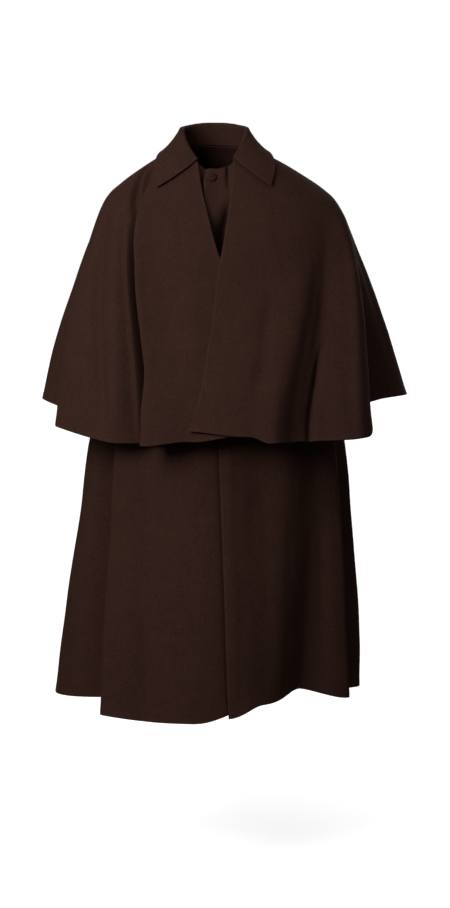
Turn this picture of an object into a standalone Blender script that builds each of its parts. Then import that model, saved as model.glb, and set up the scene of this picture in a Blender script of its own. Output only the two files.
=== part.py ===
"""A man's inverness cape in heavy wool, in its worn form with no wearer.

A sleeveless overcoat body hangs under a shoulder cape. Both are sewn to one turned-down collar.
Metres, +Z up. The wearer would face -Y, so +X is the wearer's left. The origin is the middle of
the neck seam, at the height where the seam crosses the shoulders.

A ring is an ellipse round the figure whose height changes from front to side to back. Each row
of a section table is one ring, from the neck down to the hem. Each row of a fold table is one
ridge or trough, in order round the figure, and the cloth swings smoothly from row to row.
Angles are in degrees, seen from above: 0 is the centre front and 90 the wearer's left side.
"""

import bisect
import math
from collections import namedtuple

import bpy
from mathutils import Vector

# Driving sizes
CLOTH = 0.0022
COLLAR_CLOTH = 0.0026
SEAM_GAP = 0.0004
LAYER_DROP = 0.0042
OVERLAP_FADE = 0.045
NECK_WIDTH = 0.074
NECK_FRONT = 0.0705
NECK_BACK = 0.0655
NECK_DIP = 0.043
NECK_RISE = 0.011
NECK_SHIFT = -0.012
CAPE_SEAT = 0.0026
CAPE_LIFT = 0.0012
BODY_LIFT = -0.0018
BUTTON_RADIUS = 0.011
BUTTON_HEIGHT = 0.0055
BUTTON_X = -0.018
BUTTON_Z = -0.066

Section = namedtuple(
    "Section", "name width front back z_side z_front z_back left_edge right_edge shift"
)
Fold = namedtuple("Fold", "name top hem bend out slide drop start growth steps")

# Widths and depths are half sizes from the ring's middle. The edges are how far the two
# front edges lie from that middle, and shift is how far the middle lies from the origin.
CAPE_SECTIONS = (
    Section("neck", NECK_WIDTH + CAPE_SEAT, NECK_FRONT + CAPE_SEAT, NECK_BACK + CAPE_SEAT,
            CAPE_LIFT, CAPE_LIFT - NECK_DIP, CAPE_LIFT + NECK_RISE, 0.041, -0.034, NECK_SHIFT),
    Section("under collar", 0.110, 0.099, 0.104, -0.014, -0.090, -0.020, 0.036, -0.027, -0.011),
    Section("shoulder top", 0.157, 0.125, 0.136, -0.041, -0.150, -0.065, 0.024, -0.016, -0.0075),
    Section("shoulder", 0.203, 0.145, 0.160, -0.072, -0.205, -0.120, 0.012, -0.004, -0.005),
    Section("shoulder tip", 0.242, 0.158, 0.176, -0.104, -0.255, -0.170, -0.001, 0.008, -0.001),
    Section("upper arm", 0.269, 0.171, 0.189, -0.148, -0.310, -0.225, -0.014, 0.013, 0.004),
    Section("chest", 0.290, 0.186, 0.201, -0.200, -0.360, -0.280, -0.019, 0.022, 0.004),
    Section("ribs", 0.313, 0.202, 0.213, -0.270, -0.410, -0.340, -0.027, 0.029, 0.004),
    Section("elbow", 0.333, 0.220, 0.227, -0.345, -0.465, -0.400, -0.035, 0.035, 0.004),
    Section("forearm", 0.352, 0.238, 0.242, -0.430, -0.520, -0.470, -0.045, 0.039, 0.005),
    Section("hem", 0.372, 0.260, 0.262, -0.545, -0.598, -0.565, -0.070, 0.048, 0.007),
)
BODY_SECTIONS = (
    Section("neck", NECK_WIDTH, NECK_FRONT, NECK_BACK,
            BODY_LIFT, BODY_LIFT - NECK_DIP, BODY_LIFT + NECK_RISE, -0.006, 0.036, NECK_SHIFT),
    Section("throat", 0.0880, 0.0815, 0.0830, -0.0095, -0.0660, -0.0050, -0.0205, 0.037, -0.012),
    Section("under collar", 0.1050, 0.0940, 0.0980, -0.0190, -0.0930, -0.0250, -0.0225, 0.038, -0.011),
    Section("shoulder top", 0.1500, 0.1170, 0.1280, -0.0490, -0.1530, -0.0720, -0.022, 0.040, -0.0075),
    Section("shoulder tip", 0.1920, 0.1330, 0.1500, -0.0840, -0.2080, -0.1290, -0.021, 0.040, -0.005),
    Section("upper armhole", 0.2020, 0.1370, 0.1540, -0.1450, -0.2550, -0.1950, -0.020, 0.041, -0.002),
    Section("chest", 0.2070, 0.1450, 0.1570, -0.2350, -0.3150, -0.2700, -0.018, 0.044, -0.001),
    Section("armpit", 0.2130, 0.1540, 0.1630, -0.3350, -0.3750, -0.3500, -0.014, 0.049, -0.001),
    Section("waist", 0.2320, 0.1680, 0.1780, -0.4500, -0.4600, -0.4550, -0.008, 0.057, -0.002),
    Section("high hip", 0.2520, 0.1880, 0.1950, -0.5600, -0.5600, -0.5600, -0.001, 0.064, -0.004),
    Section("hip", 0.2660, 0.2050, 0.2100, -0.6600, -0.6600, -0.6600, 0.006, 0.071, -0.007),
    Section("thigh", 0.2730, 0.2250, 0.2280, -0.7900, -0.7900, -0.7900, 0.014, 0.080, -0.010),
    Section("knee", 0.2820, 0.2470, 0.2500, -0.9200, -0.9200, -0.9200, 0.024, 0.090, -0.015),
    Section("calf", 0.2880, 0.2640, 0.2680, -1.0500, -1.0500, -1.0500, 0.033, 0.100, -0.020),
    Section("hem", 0.2920, 0.2780, 0.2830, -1.1600, -1.1600, -1.1600, 0.042, 0.108, -0.024),
)

# top and hem are the fold's angle at each end, and bend says how it goes from one to the
# other: 1 evenly, 2 mostly near the neck. out is how far it stands out at the hem, slide how
# far it leans round the figure, and drop how far its hem hangs below the section's. It starts
# between neck 0 and hem 1 and grows from there, evenly at 1 and late at 2. The mesh takes
# that many steps to the next row.
CAPE_FOLDS = (
    Fold("left front edge", 0, 0, 1.0, 0.000, 0.000, -0.013, 0.30, 1.2, 4),
    Fold("left soft flat", 30, 8, 1.5, 0.001, 0.000, -0.003, 0.30, 1.2, 3),
    Fold("left soft ridge", 48, 15, 1.5, 0.009, 0.000, 0.013, 0.30, 1.0, 3),
    Fold("left front trough", 80, 25, 1.6, -0.030, 0.000, 0.020, 0.22, 0.9, 5),
    Fold("left arm ridge", 94, 51.5, 1.4, 0.010, 0.000, 0.036, 0.24, 0.8, 4),
    Fold("left arm trough", 99, 68, 1.4, -0.052, 0.000, -0.016, 0.24, 1.0, 4),
    Fold("left back ridge", 106, 103, 1.5, 0.034, 0.000, -0.022, 0.30, 1.5, 3),
    Fold("left blade trough", 118, 121, 2.0, -0.028, 0.000, 0.000, 0.34, 1.2, 3),
    Fold("left blade ridge", 131, 138, 2.0, 0.028, 0.000, 0.004, 0.30, 1.2, 3),
    Fold("left spine trough", 146, 153, 2.0, -0.024, 0.000, 0.000, 0.36, 1.2, 3),
    Fold("left spine ridge", 163, 168, 2.0, 0.022, 0.000, 0.006, 0.34, 1.2, 3),
    Fold("back trough", 180, 183, 2.0, -0.020, 0.000, 0.000, 0.40, 1.2, 3),
    Fold("right spine ridge", 197, 198, 2.0, 0.025, 0.000, 0.008, 0.32, 1.2, 3),
    Fold("right spine trough", 214, 213, 2.0, -0.026, 0.000, 0.000, 0.36, 1.2, 3),
    Fold("right blade ridge", 229, 229, 2.0, 0.028, 0.000, 0.004, 0.30, 1.2, 3),
    Fold("right blade trough", 242, 243, 2.0, -0.030, 0.000, 0.000, 0.34, 1.2, 3),
    Fold("right back ridge", 252, 258, 1.5, 0.028, 0.000, -0.013, 0.30, 1.4, 4),
    Fold("right arm trough", 261, 280, 1.4, -0.046, 0.000, 0.010, 0.26, 1.0, 4),
    Fold("right arm ridge", 270, 296.5, 1.4, 0.014, 0.000, 0.028, 0.28, 1.0, 4),
    Fold("right arm flat", 280, 321, 2.0, 0.004, 0.000, 0.032, 0.20, 1.0, 4),
    Fold("right deep trough", 286, 334, 2.0, -0.044, 0.012, 0.026, 0.13, 0.8, 5),
    Fold("right deep ridge", 290, 338.5, 2.0, 0.024, -0.024, 0.022, 0.12, 0.5, 5),
    Fold("right front", 310, 349, 2.0, 0.000, 0.000, 0.009, 0.15, 1.0, 3),
    Fold("right front edge", 360, 360, 1.0, 0.000, 0.000, -0.006, 0.30, 1.2, 0),
)
BODY_FOLDS = (
    Fold("left front edge", 0, 0, 1.0, 0.000, 0.000, 0.008, 0.40, 1.2, 3),
    Fold("left front lap", 34, 24, 1.0, 0.000, 0.000, -0.016, 0.40, 1.2, 4),
    Fold("left front trough", 52, 49, 1.0, -0.044, 0.000, -0.030, 0.46, 1.2, 4),
    Fold("left thigh ridge", 66, 66, 1.0, 0.026, 0.000, -0.006, 0.38, 1.1, 3),
    Fold("left thigh trough", 76, 76, 1.0, -0.034, 0.000, -0.008, 0.40, 1.1, 3),
    Fold("left side ridge", 86, 88, 1.0, 0.033, 0.000, -0.008, 0.36, 1.1, 4),
    Fold("left side trough", 95, 99, 1.0, -0.030, 0.000, -0.040, 0.36, 1.1, 3),
    Fold("left back ridge", 108, 113, 1.0, 0.070, 0.000, -0.088, 0.34, 0.9, 4),
    Fold("left back trough", 124, 133, 1.0, -0.030, 0.000, -0.070, 0.36, 1.1, 3),
    Fold("left seat ridge", 140, 149, 1.0, 0.035, 0.000, -0.056, 0.40, 1.1, 3),
    Fold("left seat trough", 158, 164, 1.0, -0.026, 0.000, -0.042, 0.40, 1.1, 3),
    Fold("back ridge", 178, 180, 1.0, 0.034, 0.000, -0.028, 0.36, 1.1, 3),
    Fold("right seat trough", 196, 195, 1.0, -0.026, 0.000, -0.016, 0.40, 1.1, 3),
    Fold("right seat ridge", 212, 210, 1.0, 0.034, 0.000, -0.008, 0.40, 1.1, 3),
    Fold("right back trough", 230, 225, 1.0, -0.032, 0.000, 0.000, 0.38, 1.1, 3),
    Fold("right back ridge", 250, 240, 1.0, 0.030, 0.000, 0.000, 0.36, 1.1, 3),
    Fold("right side trough", 264, 254, 1.0, -0.026, 0.000, 0.000, 0.36, 1.1, 4),
    Fold("right side ridge", 274, 272, 1.0, 0.038, 0.000, 0.003, 0.34, 1.1, 5),
    Fold("right thigh trough", 296, 311.5, 1.0, -0.048, 0.012, -0.010, 0.34, 1.0, 5),
    Fold("right thigh ridge", 300, 317.5, 1.0, 0.018, -0.018, 0.014, 0.34, 0.9, 4),
    Fold("right front trough", 320, 336, 1.0, -0.010, 0.000, 0.021, 0.42, 1.2, 4),
    Fold("right front lap", 336, 354, 1.0, 0.000, 0.000, 0.018, 0.42, 1.2, 4),
    Fold("right front edge", 360, 360, 1.0, 0.000, 0.000, -0.014, 0.42, 1.2, 0),
)
DROP_GROWTH = 3.0

# The armhole is an oval cut round each side seam between these two sections
ARMHOLE_TOP = "shoulder tip"
ARMHOLE_BOTTOM = "armpit"
ARMHOLE_SPREAD = 29.0
ARMHOLE_ROWS = 10

# Where the collar's turned-down part ends, on the cape. angle is round the neck seam,
# stand how high it stands there, and edge_angle and edge_way name a point of the cape.
CollarRow = namedtuple("CollarRow", "name angle stand edge_angle edge_way roll steps")
COLLAR_ROWS = (
    CollarRow("left point", 33, 0.0080, 47, 0.130, 0.0028, 4),
    CollarRow("left front", 58, 0.027, 66, 0.096, 0.0036, 4),
    CollarRow("left side", 90, 0.043, 92, 0.056, 0.0044, 4),
    CollarRow("left back", 135, 0.047, 136, 0.066, 0.0046, 4),
    CollarRow("back", 180, 0.047, 180, 0.074, 0.0046, 4),
    CollarRow("right back", 225, 0.047, 224, 0.066, 0.0046, 4),
    CollarRow("right side", 270, 0.043, 268, 0.056, 0.0044, 4),
    CollarRow("right front", 302, 0.027, 294, 0.100, 0.0036, 4),
    CollarRow("right point", 332, 0.0080, 311, 0.143, 0.0028, 0),
)
COLLAR_LEAN = 0.010
COLLAR_REST = CLOTH / 2 + COLLAR_CLOTH / 2 + 0.0010
ROLL_STEPS = 4
FALL_STEPS = 5
FALL_SWELL = 0.004
FALL_BEND = 0.35

WOOL = ("brown wool", (0.045, 0.021, 0.017, 1.0), 0.92)
BUTTON_WOOL = ("button wool", (0.038, 0.018, 0.015, 1.0), 0.85)


def clear_scene():
    for thing in list(bpy.data.objects):
        bpy.data.objects.remove(thing)


def between(first, second, t):
    return first + (second - first) * t


def smooth_step(x):
    x = min(1.0, max(0.0, x))
    return x * x * (3 - 2 * x)


def ways_of(sections):
    """How far down the cloth each section lies, from neck 0 to hem 1, measured along the side."""
    ways = [0.0]
    for upper, lower in zip(sections, sections[1:]):
        ways.append(ways[-1] + math.hypot(lower.width - upper.width, lower.z_side - upper.z_side))
    return [way / ways[-1] for way in ways]


def way_of(sections, name):
    names = [section.name for section in sections]
    return ways_of(sections)[names.index(name)]


def blend_rows(keys, values, x):
    """A smooth curve through the rows' values."""
    i = min(max(bisect.bisect_right(keys, x) - 1, 0), len(keys) - 2)
    span = keys[i + 1] - keys[i]
    t = min(1.0, max(0.0, (x - keys[i]) / span))

    def slope(k):
        if k == 0 or k == len(keys) - 1:
            j = min(k, len(keys) - 2)
            return (values[j + 1] - values[j]) / (keys[j + 1] - keys[j])
        return (values[k + 1] - values[k - 1]) / (keys[k + 1] - keys[k - 1])

    return (
        (2 * t**3 - 3 * t**2 + 1) * values[i]
        + (t**3 - 2 * t**2 + t) * span * slope(i)
        + (3 * t**2 - 2 * t**3) * values[i + 1]
        + (t**3 - t**2) * span * slope(i + 1)
    )


class Cloth:
    """One layer of the garment: its sections and folds, and the points that they give."""

    def __init__(self, sections, folds, armholes):
        self.sections = sections
        self.folds = folds
        self.ways = ways_of(sections)
        self.armholes = armholes

    def size(self, column, way):
        return blend_rows(self.ways, [getattr(row, column) for row in self.sections], way)

    def ring_point(self, angle, way):
        """The point of the plain ring, with no folds, and the direction that faces out there."""
        a = math.radians(angle)
        depth_column = "front" if math.cos(a) > 0 else "back"
        width = self.size("width", way)
        depth = self.size(depth_column, way)
        share = math.cos(a) ** 2
        z = (1 - share) * self.size("z_side", way) + share * self.size("z_" + depth_column, way)
        point = Vector((self.size("shift", way) + width * math.sin(a), -depth * math.cos(a), z))
        outward = Vector((math.sin(a) / width, -math.cos(a) / depth, 0)).normalized()
        return point, outward

    def edge_angle(self, side, way):
        """The angle of the left or right front edge."""
        offset = self.size(side + "_edge", way)
        angle = math.degrees(math.asin(offset / self.size("width", way)))
        return angle if side == "left" else 360 + angle

    def fold_angle(self, row, way):
        if row == 0:
            return self.edge_angle("left", way)
        if row == len(self.folds) - 1:
            return self.edge_angle("right", way)
        fold = self.folds[row]
        return fold.hem + (fold.top - fold.hem) * (1 - way) ** fold.bend

    def nominal_angle(self, place, way):
        row = min(int(place), len(self.folds) - 2)
        first, second = self.fold_angle(row, way), self.fold_angle(row + 1, way)
        return first + (second - first) * (place - row)

    def armhole_spread(self, way):
        """Half the armhole's angle at this way down, or nothing above and below it."""
        if not self.armholes:
            return 0.0
        top = way_of(self.sections, ARMHOLE_TOP)
        bottom = way_of(self.sections, ARMHOLE_BOTTOM)
        across = (way - (top + bottom) / 2) / ((bottom - top) / 2)
        return ARMHOLE_SPREAD * math.sqrt(max(0.0, 1 - across * across))

    def point(self, place, way, panel):
        """The cloth's middle at this place among the folds. panel is its first and last place."""
        first, last = panel
        low, high = self.nominal_angle(first, way), self.nominal_angle(last, way)
        spread = self.armhole_spread(way)
        cut_low = low + (spread if first > 0 else 0)
        cut_high = high - (spread if last < len(self.folds) - 1 else 0)
        share = (self.nominal_angle(place, way) - low) / (high - low)
        angle = cut_low + share * (cut_high - cut_low)
        point, outward = self.ring_point(angle, way)
        around = Vector((-outward.y, outward.x, 0))
        row = min(int(place), len(self.folds) - 2)
        swing = (1 - math.cos(math.pi * (place - row))) / 2
        out = slide = drop = 0.0
        for fold, weight in ((self.folds[row], 1 - swing), (self.folds[row + 1], swing)):
            grown = max(0.0, (way - fold.start) / (1 - fold.start)) ** fold.growth
            out += weight * fold.out * grown
            slide += weight * fold.slide * grown
            drop += weight * fold.drop * way**DROP_GROWTH
        point = point + outward * out + around * slide - Vector((0, 0, drop))
        return point - outward * self.under_lap(place, angle, way)

    def under_lap(self, place, angle, way):
        """How far the right front sinks to pass under the left front."""
        if place < len(self.folds) - 4:
            return 0.0
        across = self.size("width", way) * math.sin(math.radians(angle))
        past = across - (self.size("left_edge", way) - OVERLAP_FADE)
        return LAYER_DROP * smooth_step(past / OVERLAP_FADE)


def places_between(folds, first, last):
    """The mesh columns from one place to another."""
    places = [first]
    for row, fold in enumerate(folds):
        for step in range(fold.steps):
            place = row + step / fold.steps
            if first < place < last:
                places.append(place)
    return places + [last]


def seam_trim(grid):
    """Draws the first and last columns in by half of the seam's gap."""
    for end, inner in ((0, 1), (-1, -2)):
        for k, point in enumerate(grid[end]):
            along = grid[inner][k] - point
            grid[end][k] = point + along.normalized() * (SEAM_GAP / 2)
    return grid


def wall(name, grid, thickness, material, collection):
    """An open surface through the grid's columns, thickened evenly to both sides."""
    rows = len(grid[0])
    points = [point for column in grid for point in column]
    faces = [
        (i * rows + k, i * rows + k + 1, (i + 1) * rows + k + 1, (i + 1) * rows + k)
        for i in range(len(grid) - 1)
        for k in range(rows - 1)
    ]
    mesh = bpy.data.meshes.new(name)
    mesh.from_pydata(points, [], faces)
    mesh.materials.append(material)
    mesh.shade_smooth()
    thing = bpy.data.objects.new(name, mesh)
    collection.objects.link(thing)
    solidify = thing.modifiers.new("cloth thickness", "SOLIDIFY")
    solidify.thickness = thickness
    solidify.offset = 0.0
    return thing


def make_material(name, colour, roughness):
    material = bpy.data.materials.new(name)
    material.use_nodes = True
    shader = material.node_tree.nodes["Principled BSDF"]
    shader.inputs["Base Color"].default_value = colour
    shader.inputs["Roughness"].default_value = roughness
    shader.inputs["Metallic"].default_value = 0.0
    return material


def levels_of(cloth, halved):
    """The mesh rows: every section, one more after each that halved names, and the armhole's."""
    ways = cloth.ways
    levels = []
    for k, section in enumerate(cloth.sections):
        levels.append(ways[k])
        if section.name in halved:
            levels.append((ways[k] + ways[k + 1]) / 2)
    if not cloth.armholes:
        return levels
    top = way_of(cloth.sections, ARMHOLE_TOP)
    bottom = way_of(cloth.sections, ARMHOLE_BOTTOM)
    around = [
        between(top, bottom, (1 - math.cos(math.pi * k / ARMHOLE_ROWS)) / 2)
        for k in range(ARMHOLE_ROWS + 1)
    ]
    outside = [way for way in levels if way < top - 0.001 or way > bottom + 0.001]
    return sorted(outside + around)


def make_panels(cloth, levels, panels, material, collection):
    for name, first, last in panels:
        columns = places_between(cloth.folds, first, last)
        grid = [[cloth.point(place, way, (first, last)) for way in levels] for place in columns]
        wall(name, seam_trim(grid), CLOTH, material, collection)


def above(cloth, angle, way, height):
    """A point this high over a plain ring of the cloth, square to its surface."""
    base, face = cloth.ring_point(angle, way)
    lower, _ = cloth.ring_point(angle, way + 0.01)
    down = (lower - base).normalized()
    return base + (face - down * face.dot(down)).normalized() * height


def collar_profile(cape, row):
    """The collar's middle from the neck seam up its stand, over the roll and down to its edge."""
    a = math.radians(row.angle)
    depth = NECK_FRONT if math.cos(a) > 0 else NECK_BACK
    rise = -NECK_DIP if math.cos(a) > 0 else NECK_RISE
    seam = Vector(
        (NECK_SHIFT + NECK_WIDTH * math.sin(a), -depth * math.cos(a), rise * math.cos(a) ** 2)
    )
    outward = Vector((math.sin(a) / NECK_WIDTH, -math.cos(a) / depth, 0)).normalized()
    up = Vector((0, 0, 1))
    top = seam + up * (row.stand - row.roll) - outward * COLLAR_LEAN * row.stand / 0.047
    profile = [between(seam, top, t) for t in (0, 0.5)]
    middle = top + outward * row.roll
    for step in range(ROLL_STEPS + 1):
        turn = math.pi * step / ROLL_STEPS
        profile.append(middle + row.roll * (up * math.sin(turn) - outward * math.cos(turn)))
    start = profile[-1]
    bend_angle = between(row.angle, row.edge_angle, FALL_BEND)
    bend = above(cape, bend_angle, row.edge_way * FALL_BEND, COLLAR_REST + FALL_SWELL)
    edge = above(cape, row.edge_angle, row.edge_way, COLLAR_REST)
    for step in range(1, FALL_STEPS + 1):
        t = step / FALL_STEPS
        profile.append(between(between(start, bend, t), between(bend, edge, t), t))
    return profile


def collar_rows():
    """The collar's table filled in with the rows between."""
    keys = [row.angle for row in COLLAR_ROWS]
    angles = []
    for row, following in zip(COLLAR_ROWS, COLLAR_ROWS[1:]):
        angles += [between(row.angle, following.angle, n / row.steps) for n in range(row.steps)]
    for angle in angles + keys[-1:]:
        sizes = {
            column: blend_rows(keys, [getattr(row, column) for row in COLLAR_ROWS], angle)
            for column in ("stand", "edge_angle", "edge_way", "roll")
        }
        yield CollarRow("between", angle, steps=0, **sizes)


def make_collar(cape, material, collection):
    grid = [collar_profile(cape, row) for row in collar_rows()]
    grid.reverse()
    wall("collar", grid, COLLAR_CLOTH, material, collection)


def make_button(body, material, collection):
    """A covered button on the left front, just under the neck."""
    place, way = 0.6, 0.05
    panel = (0, 5.5)
    for _ in range(12):
        here = body.point(place, way, panel)
        way += here.z - BUTTON_Z
        place += (BUTTON_X - here.x) * 12
    here = body.point(place, way, panel)
    across = body.point(place + 0.05, way, panel) - here
    down = body.point(place, way + 0.005, panel) - here
    face = down.cross(across).normalized()
    if face.y > 0:
        face = -face
    outline = (
        (0.0, BUTTON_HEIGHT),
        (0.30, 0.96 * BUTTON_HEIGHT),
        (0.60, 0.84 * BUTTON_HEIGHT),
        (0.84, 0.62 * BUTTON_HEIGHT),
        (0.97, 0.36 * BUTTON_HEIGHT),
        (1.00, 0.20 * BUTTON_HEIGHT),
        (0.93, 0.04 * BUTTON_HEIGHT),
        (0.80, 0.0),
        (0.0, 0.0),
    )
    points = [(share * BUTTON_RADIUS, 0, height) for share, height in outline]
    edges = [(k, k + 1) for k in range(len(points) - 1)]
    mesh = bpy.data.meshes.new("neck_button")
    mesh.from_pydata(points, edges, [])
    mesh.materials.append(material)
    button = bpy.data.objects.new("neck_button", mesh)
    collection.objects.link(button)
    screw = button.modifiers.new("turned dome", "SCREW")
    screw.steps = 20
    screw.render_steps = 20
    screw.use_merge_vertices = True
    screw.merge_threshold = 0.0001
    button.location = here + face * (CLOTH / 2 + 0.0004)
    button.rotation_mode = "QUATERNION"
    button.rotation_quaternion = face.to_track_quat("Z", "Y")


def main():
    clear_scene()
    collection = bpy.data.collections.new("inverness_cape")
    bpy.context.scene.collection.children.link(collection)
    wool = make_material(*WOOL)
    button_wool = make_material(*BUTTON_WOOL)
    cape = Cloth(CAPE_SECTIONS, CAPE_FOLDS, armholes=False)
    body = Cloth(BODY_SECTIONS, BODY_FOLDS, armholes=True)
    cape_levels = levels_of(
        cape,
        ("under collar", "shoulder top", "shoulder", "shoulder tip", "ribs", "elbow", "forearm"),
    )
    body_levels = levels_of(body, ("neck", "throat", "armpit", "knee"))
    cape_panels = (
        ("cape_front_left", 0, 4.5),
        ("cape_back", 4.5, 16.5),
        ("cape_front_right", 16.5, 23),
    )
    body_panels = (
        ("body_front_left", 0, 5.5),
        ("body_back", 5.5, 16.5),
        ("body_front_right", 16.5, 22),
    )
    make_panels(cape, cape_levels, cape_panels, wool, collection)
    make_panels(body, body_levels, body_panels, wool, collection)
    make_collar(cape, wool, collection)
    make_button(body, button_wool, collection)


main()
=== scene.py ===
"""The looks of a man's inverness cape in brown melton wool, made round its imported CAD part.

Every panel is made again from the same rings and folds as its solid, as a fine shell with
turned edges, seams and small creases. Topstitching, a covered button and the wool's finish
follow. Metres, +Z up. The coat's front faces -Y, so +X is its own left.
"""

import math
from collections import namedtuple
from functools import partial

import bpy
import numpy as np
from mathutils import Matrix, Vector, noise


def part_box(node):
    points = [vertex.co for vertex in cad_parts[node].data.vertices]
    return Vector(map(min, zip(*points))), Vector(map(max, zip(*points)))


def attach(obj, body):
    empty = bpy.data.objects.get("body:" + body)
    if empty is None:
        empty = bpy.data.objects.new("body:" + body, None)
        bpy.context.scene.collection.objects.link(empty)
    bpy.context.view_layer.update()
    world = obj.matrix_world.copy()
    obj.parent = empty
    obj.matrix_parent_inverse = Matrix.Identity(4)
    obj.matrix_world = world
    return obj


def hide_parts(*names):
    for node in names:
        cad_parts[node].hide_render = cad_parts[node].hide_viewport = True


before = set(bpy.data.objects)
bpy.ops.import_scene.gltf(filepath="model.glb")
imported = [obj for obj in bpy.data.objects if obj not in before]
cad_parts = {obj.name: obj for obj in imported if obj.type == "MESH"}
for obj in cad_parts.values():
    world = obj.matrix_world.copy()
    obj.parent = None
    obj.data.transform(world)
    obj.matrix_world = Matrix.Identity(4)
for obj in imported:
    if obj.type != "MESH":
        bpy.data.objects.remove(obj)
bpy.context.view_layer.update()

# Sizes that the CAD part shares
CLOTH = 0.0022
COLLAR_CLOTH = 0.0026
LAYER_DROP = 0.0042
OVERLAP_FADE = 0.045
NECK_WIDTH = 0.074
NECK_FRONT = 0.0705
NECK_BACK = 0.0655
NECK_DIP = 0.043
NECK_RISE = 0.011
NECK_SHIFT = -0.012
CAPE_SEAT = 0.0026
CAPE_LIFT = 0.0012
BODY_LIFT = -0.0018
BUTTON_RADIUS = 0.011
BUTTON_HEIGHT = 0.0055

Section = namedtuple(
    "Section", "name width front back z_side z_front z_back left_edge right_edge shift"
)
Fold = namedtuple("Fold", "name top hem bend out slide drop start growth")

# A ring is an ellipse round the coat's middle. Widths and depths are half sizes from its middle, the
# edges are how far the two front edges lie from that middle, and shift moves the middle.
CAPE_SECTIONS = (
    Section("neck", NECK_WIDTH + CAPE_SEAT, NECK_FRONT + CAPE_SEAT, NECK_BACK + CAPE_SEAT,
            CAPE_LIFT, CAPE_LIFT - NECK_DIP, CAPE_LIFT + NECK_RISE, 0.041, -0.034, NECK_SHIFT),
    Section("under collar", 0.110, 0.099, 0.104, -0.014, -0.090, -0.020, 0.036, -0.027, -0.011),
    Section("shoulder top", 0.157, 0.125, 0.136, -0.041, -0.150, -0.065, 0.024, -0.016, -0.0075),
    Section("shoulder", 0.203, 0.145, 0.160, -0.072, -0.205, -0.120, 0.012, -0.004, -0.005),
    Section("shoulder tip", 0.242, 0.158, 0.176, -0.104, -0.255, -0.170, -0.001, 0.008, -0.001),
    Section("upper arm", 0.269, 0.171, 0.189, -0.148, -0.310, -0.225, -0.014, 0.013, 0.004),
    Section("chest", 0.290, 0.186, 0.201, -0.200, -0.360, -0.280, -0.019, 0.022, 0.004),
    Section("ribs", 0.313, 0.202, 0.213, -0.270, -0.410, -0.340, -0.027, 0.029, 0.004),
    Section("elbow", 0.333, 0.220, 0.227, -0.345, -0.465, -0.400, -0.035, 0.035, 0.004),
    Section("forearm", 0.352, 0.238, 0.242, -0.430, -0.520, -0.470, -0.045, 0.039, 0.005),
    Section("hem", 0.372, 0.260, 0.262, -0.545, -0.598, -0.565, -0.070, 0.048, 0.007),
)
BODY_SECTIONS = (
    Section("neck", NECK_WIDTH, NECK_FRONT, NECK_BACK,
            BODY_LIFT, BODY_LIFT - NECK_DIP, BODY_LIFT + NECK_RISE, -0.006, 0.036, NECK_SHIFT),
    Section("throat", 0.0880, 0.0815, 0.0830, -0.0095, -0.0660, -0.0050, -0.0205, 0.037, -0.012),
    Section("under collar", 0.1050, 0.0940, 0.0980, -0.0190, -0.0930, -0.0250, -0.0225, 0.038, -0.011),
    Section("shoulder top", 0.1500, 0.1170, 0.1280, -0.0490, -0.1530, -0.0720, -0.022, 0.040, -0.0075),
    Section("shoulder tip", 0.1920, 0.1330, 0.1500, -0.0840, -0.2080, -0.1290, -0.021, 0.040, -0.005),
    Section("upper armhole", 0.2020, 0.1370, 0.1540, -0.1450, -0.2550, -0.1950, -0.020, 0.041, -0.002),
    Section("chest", 0.2070, 0.1450, 0.1570, -0.2350, -0.3150, -0.2700, -0.018, 0.044, -0.001),
    Section("armpit", 0.2130, 0.1540, 0.1630, -0.3350, -0.3750, -0.3500, -0.014, 0.049, -0.001),
    Section("waist", 0.2320, 0.1680, 0.1780, -0.4500, -0.4600, -0.4550, -0.008, 0.057, -0.002),
    Section("high hip", 0.2520, 0.1880, 0.1950, -0.5600, -0.5600, -0.5600, -0.001, 0.064, -0.004),
    Section("hip", 0.2660, 0.2050, 0.2100, -0.6600, -0.6600, -0.6600, 0.006, 0.071, -0.007),
    Section("thigh", 0.2730, 0.2250, 0.2280, -0.7900, -0.7900, -0.7900, 0.014, 0.080, -0.010),
    Section("knee", 0.2820, 0.2470, 0.2500, -0.9200, -0.9200, -0.9200, 0.024, 0.090, -0.015),
    Section("calf", 0.2880, 0.2640, 0.2680, -1.0500, -1.0500, -1.0500, 0.033, 0.100, -0.020),
    Section("hem", 0.2920, 0.2780, 0.2830, -1.1600, -1.1600, -1.1600, 0.042, 0.108, -0.024),
)

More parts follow.
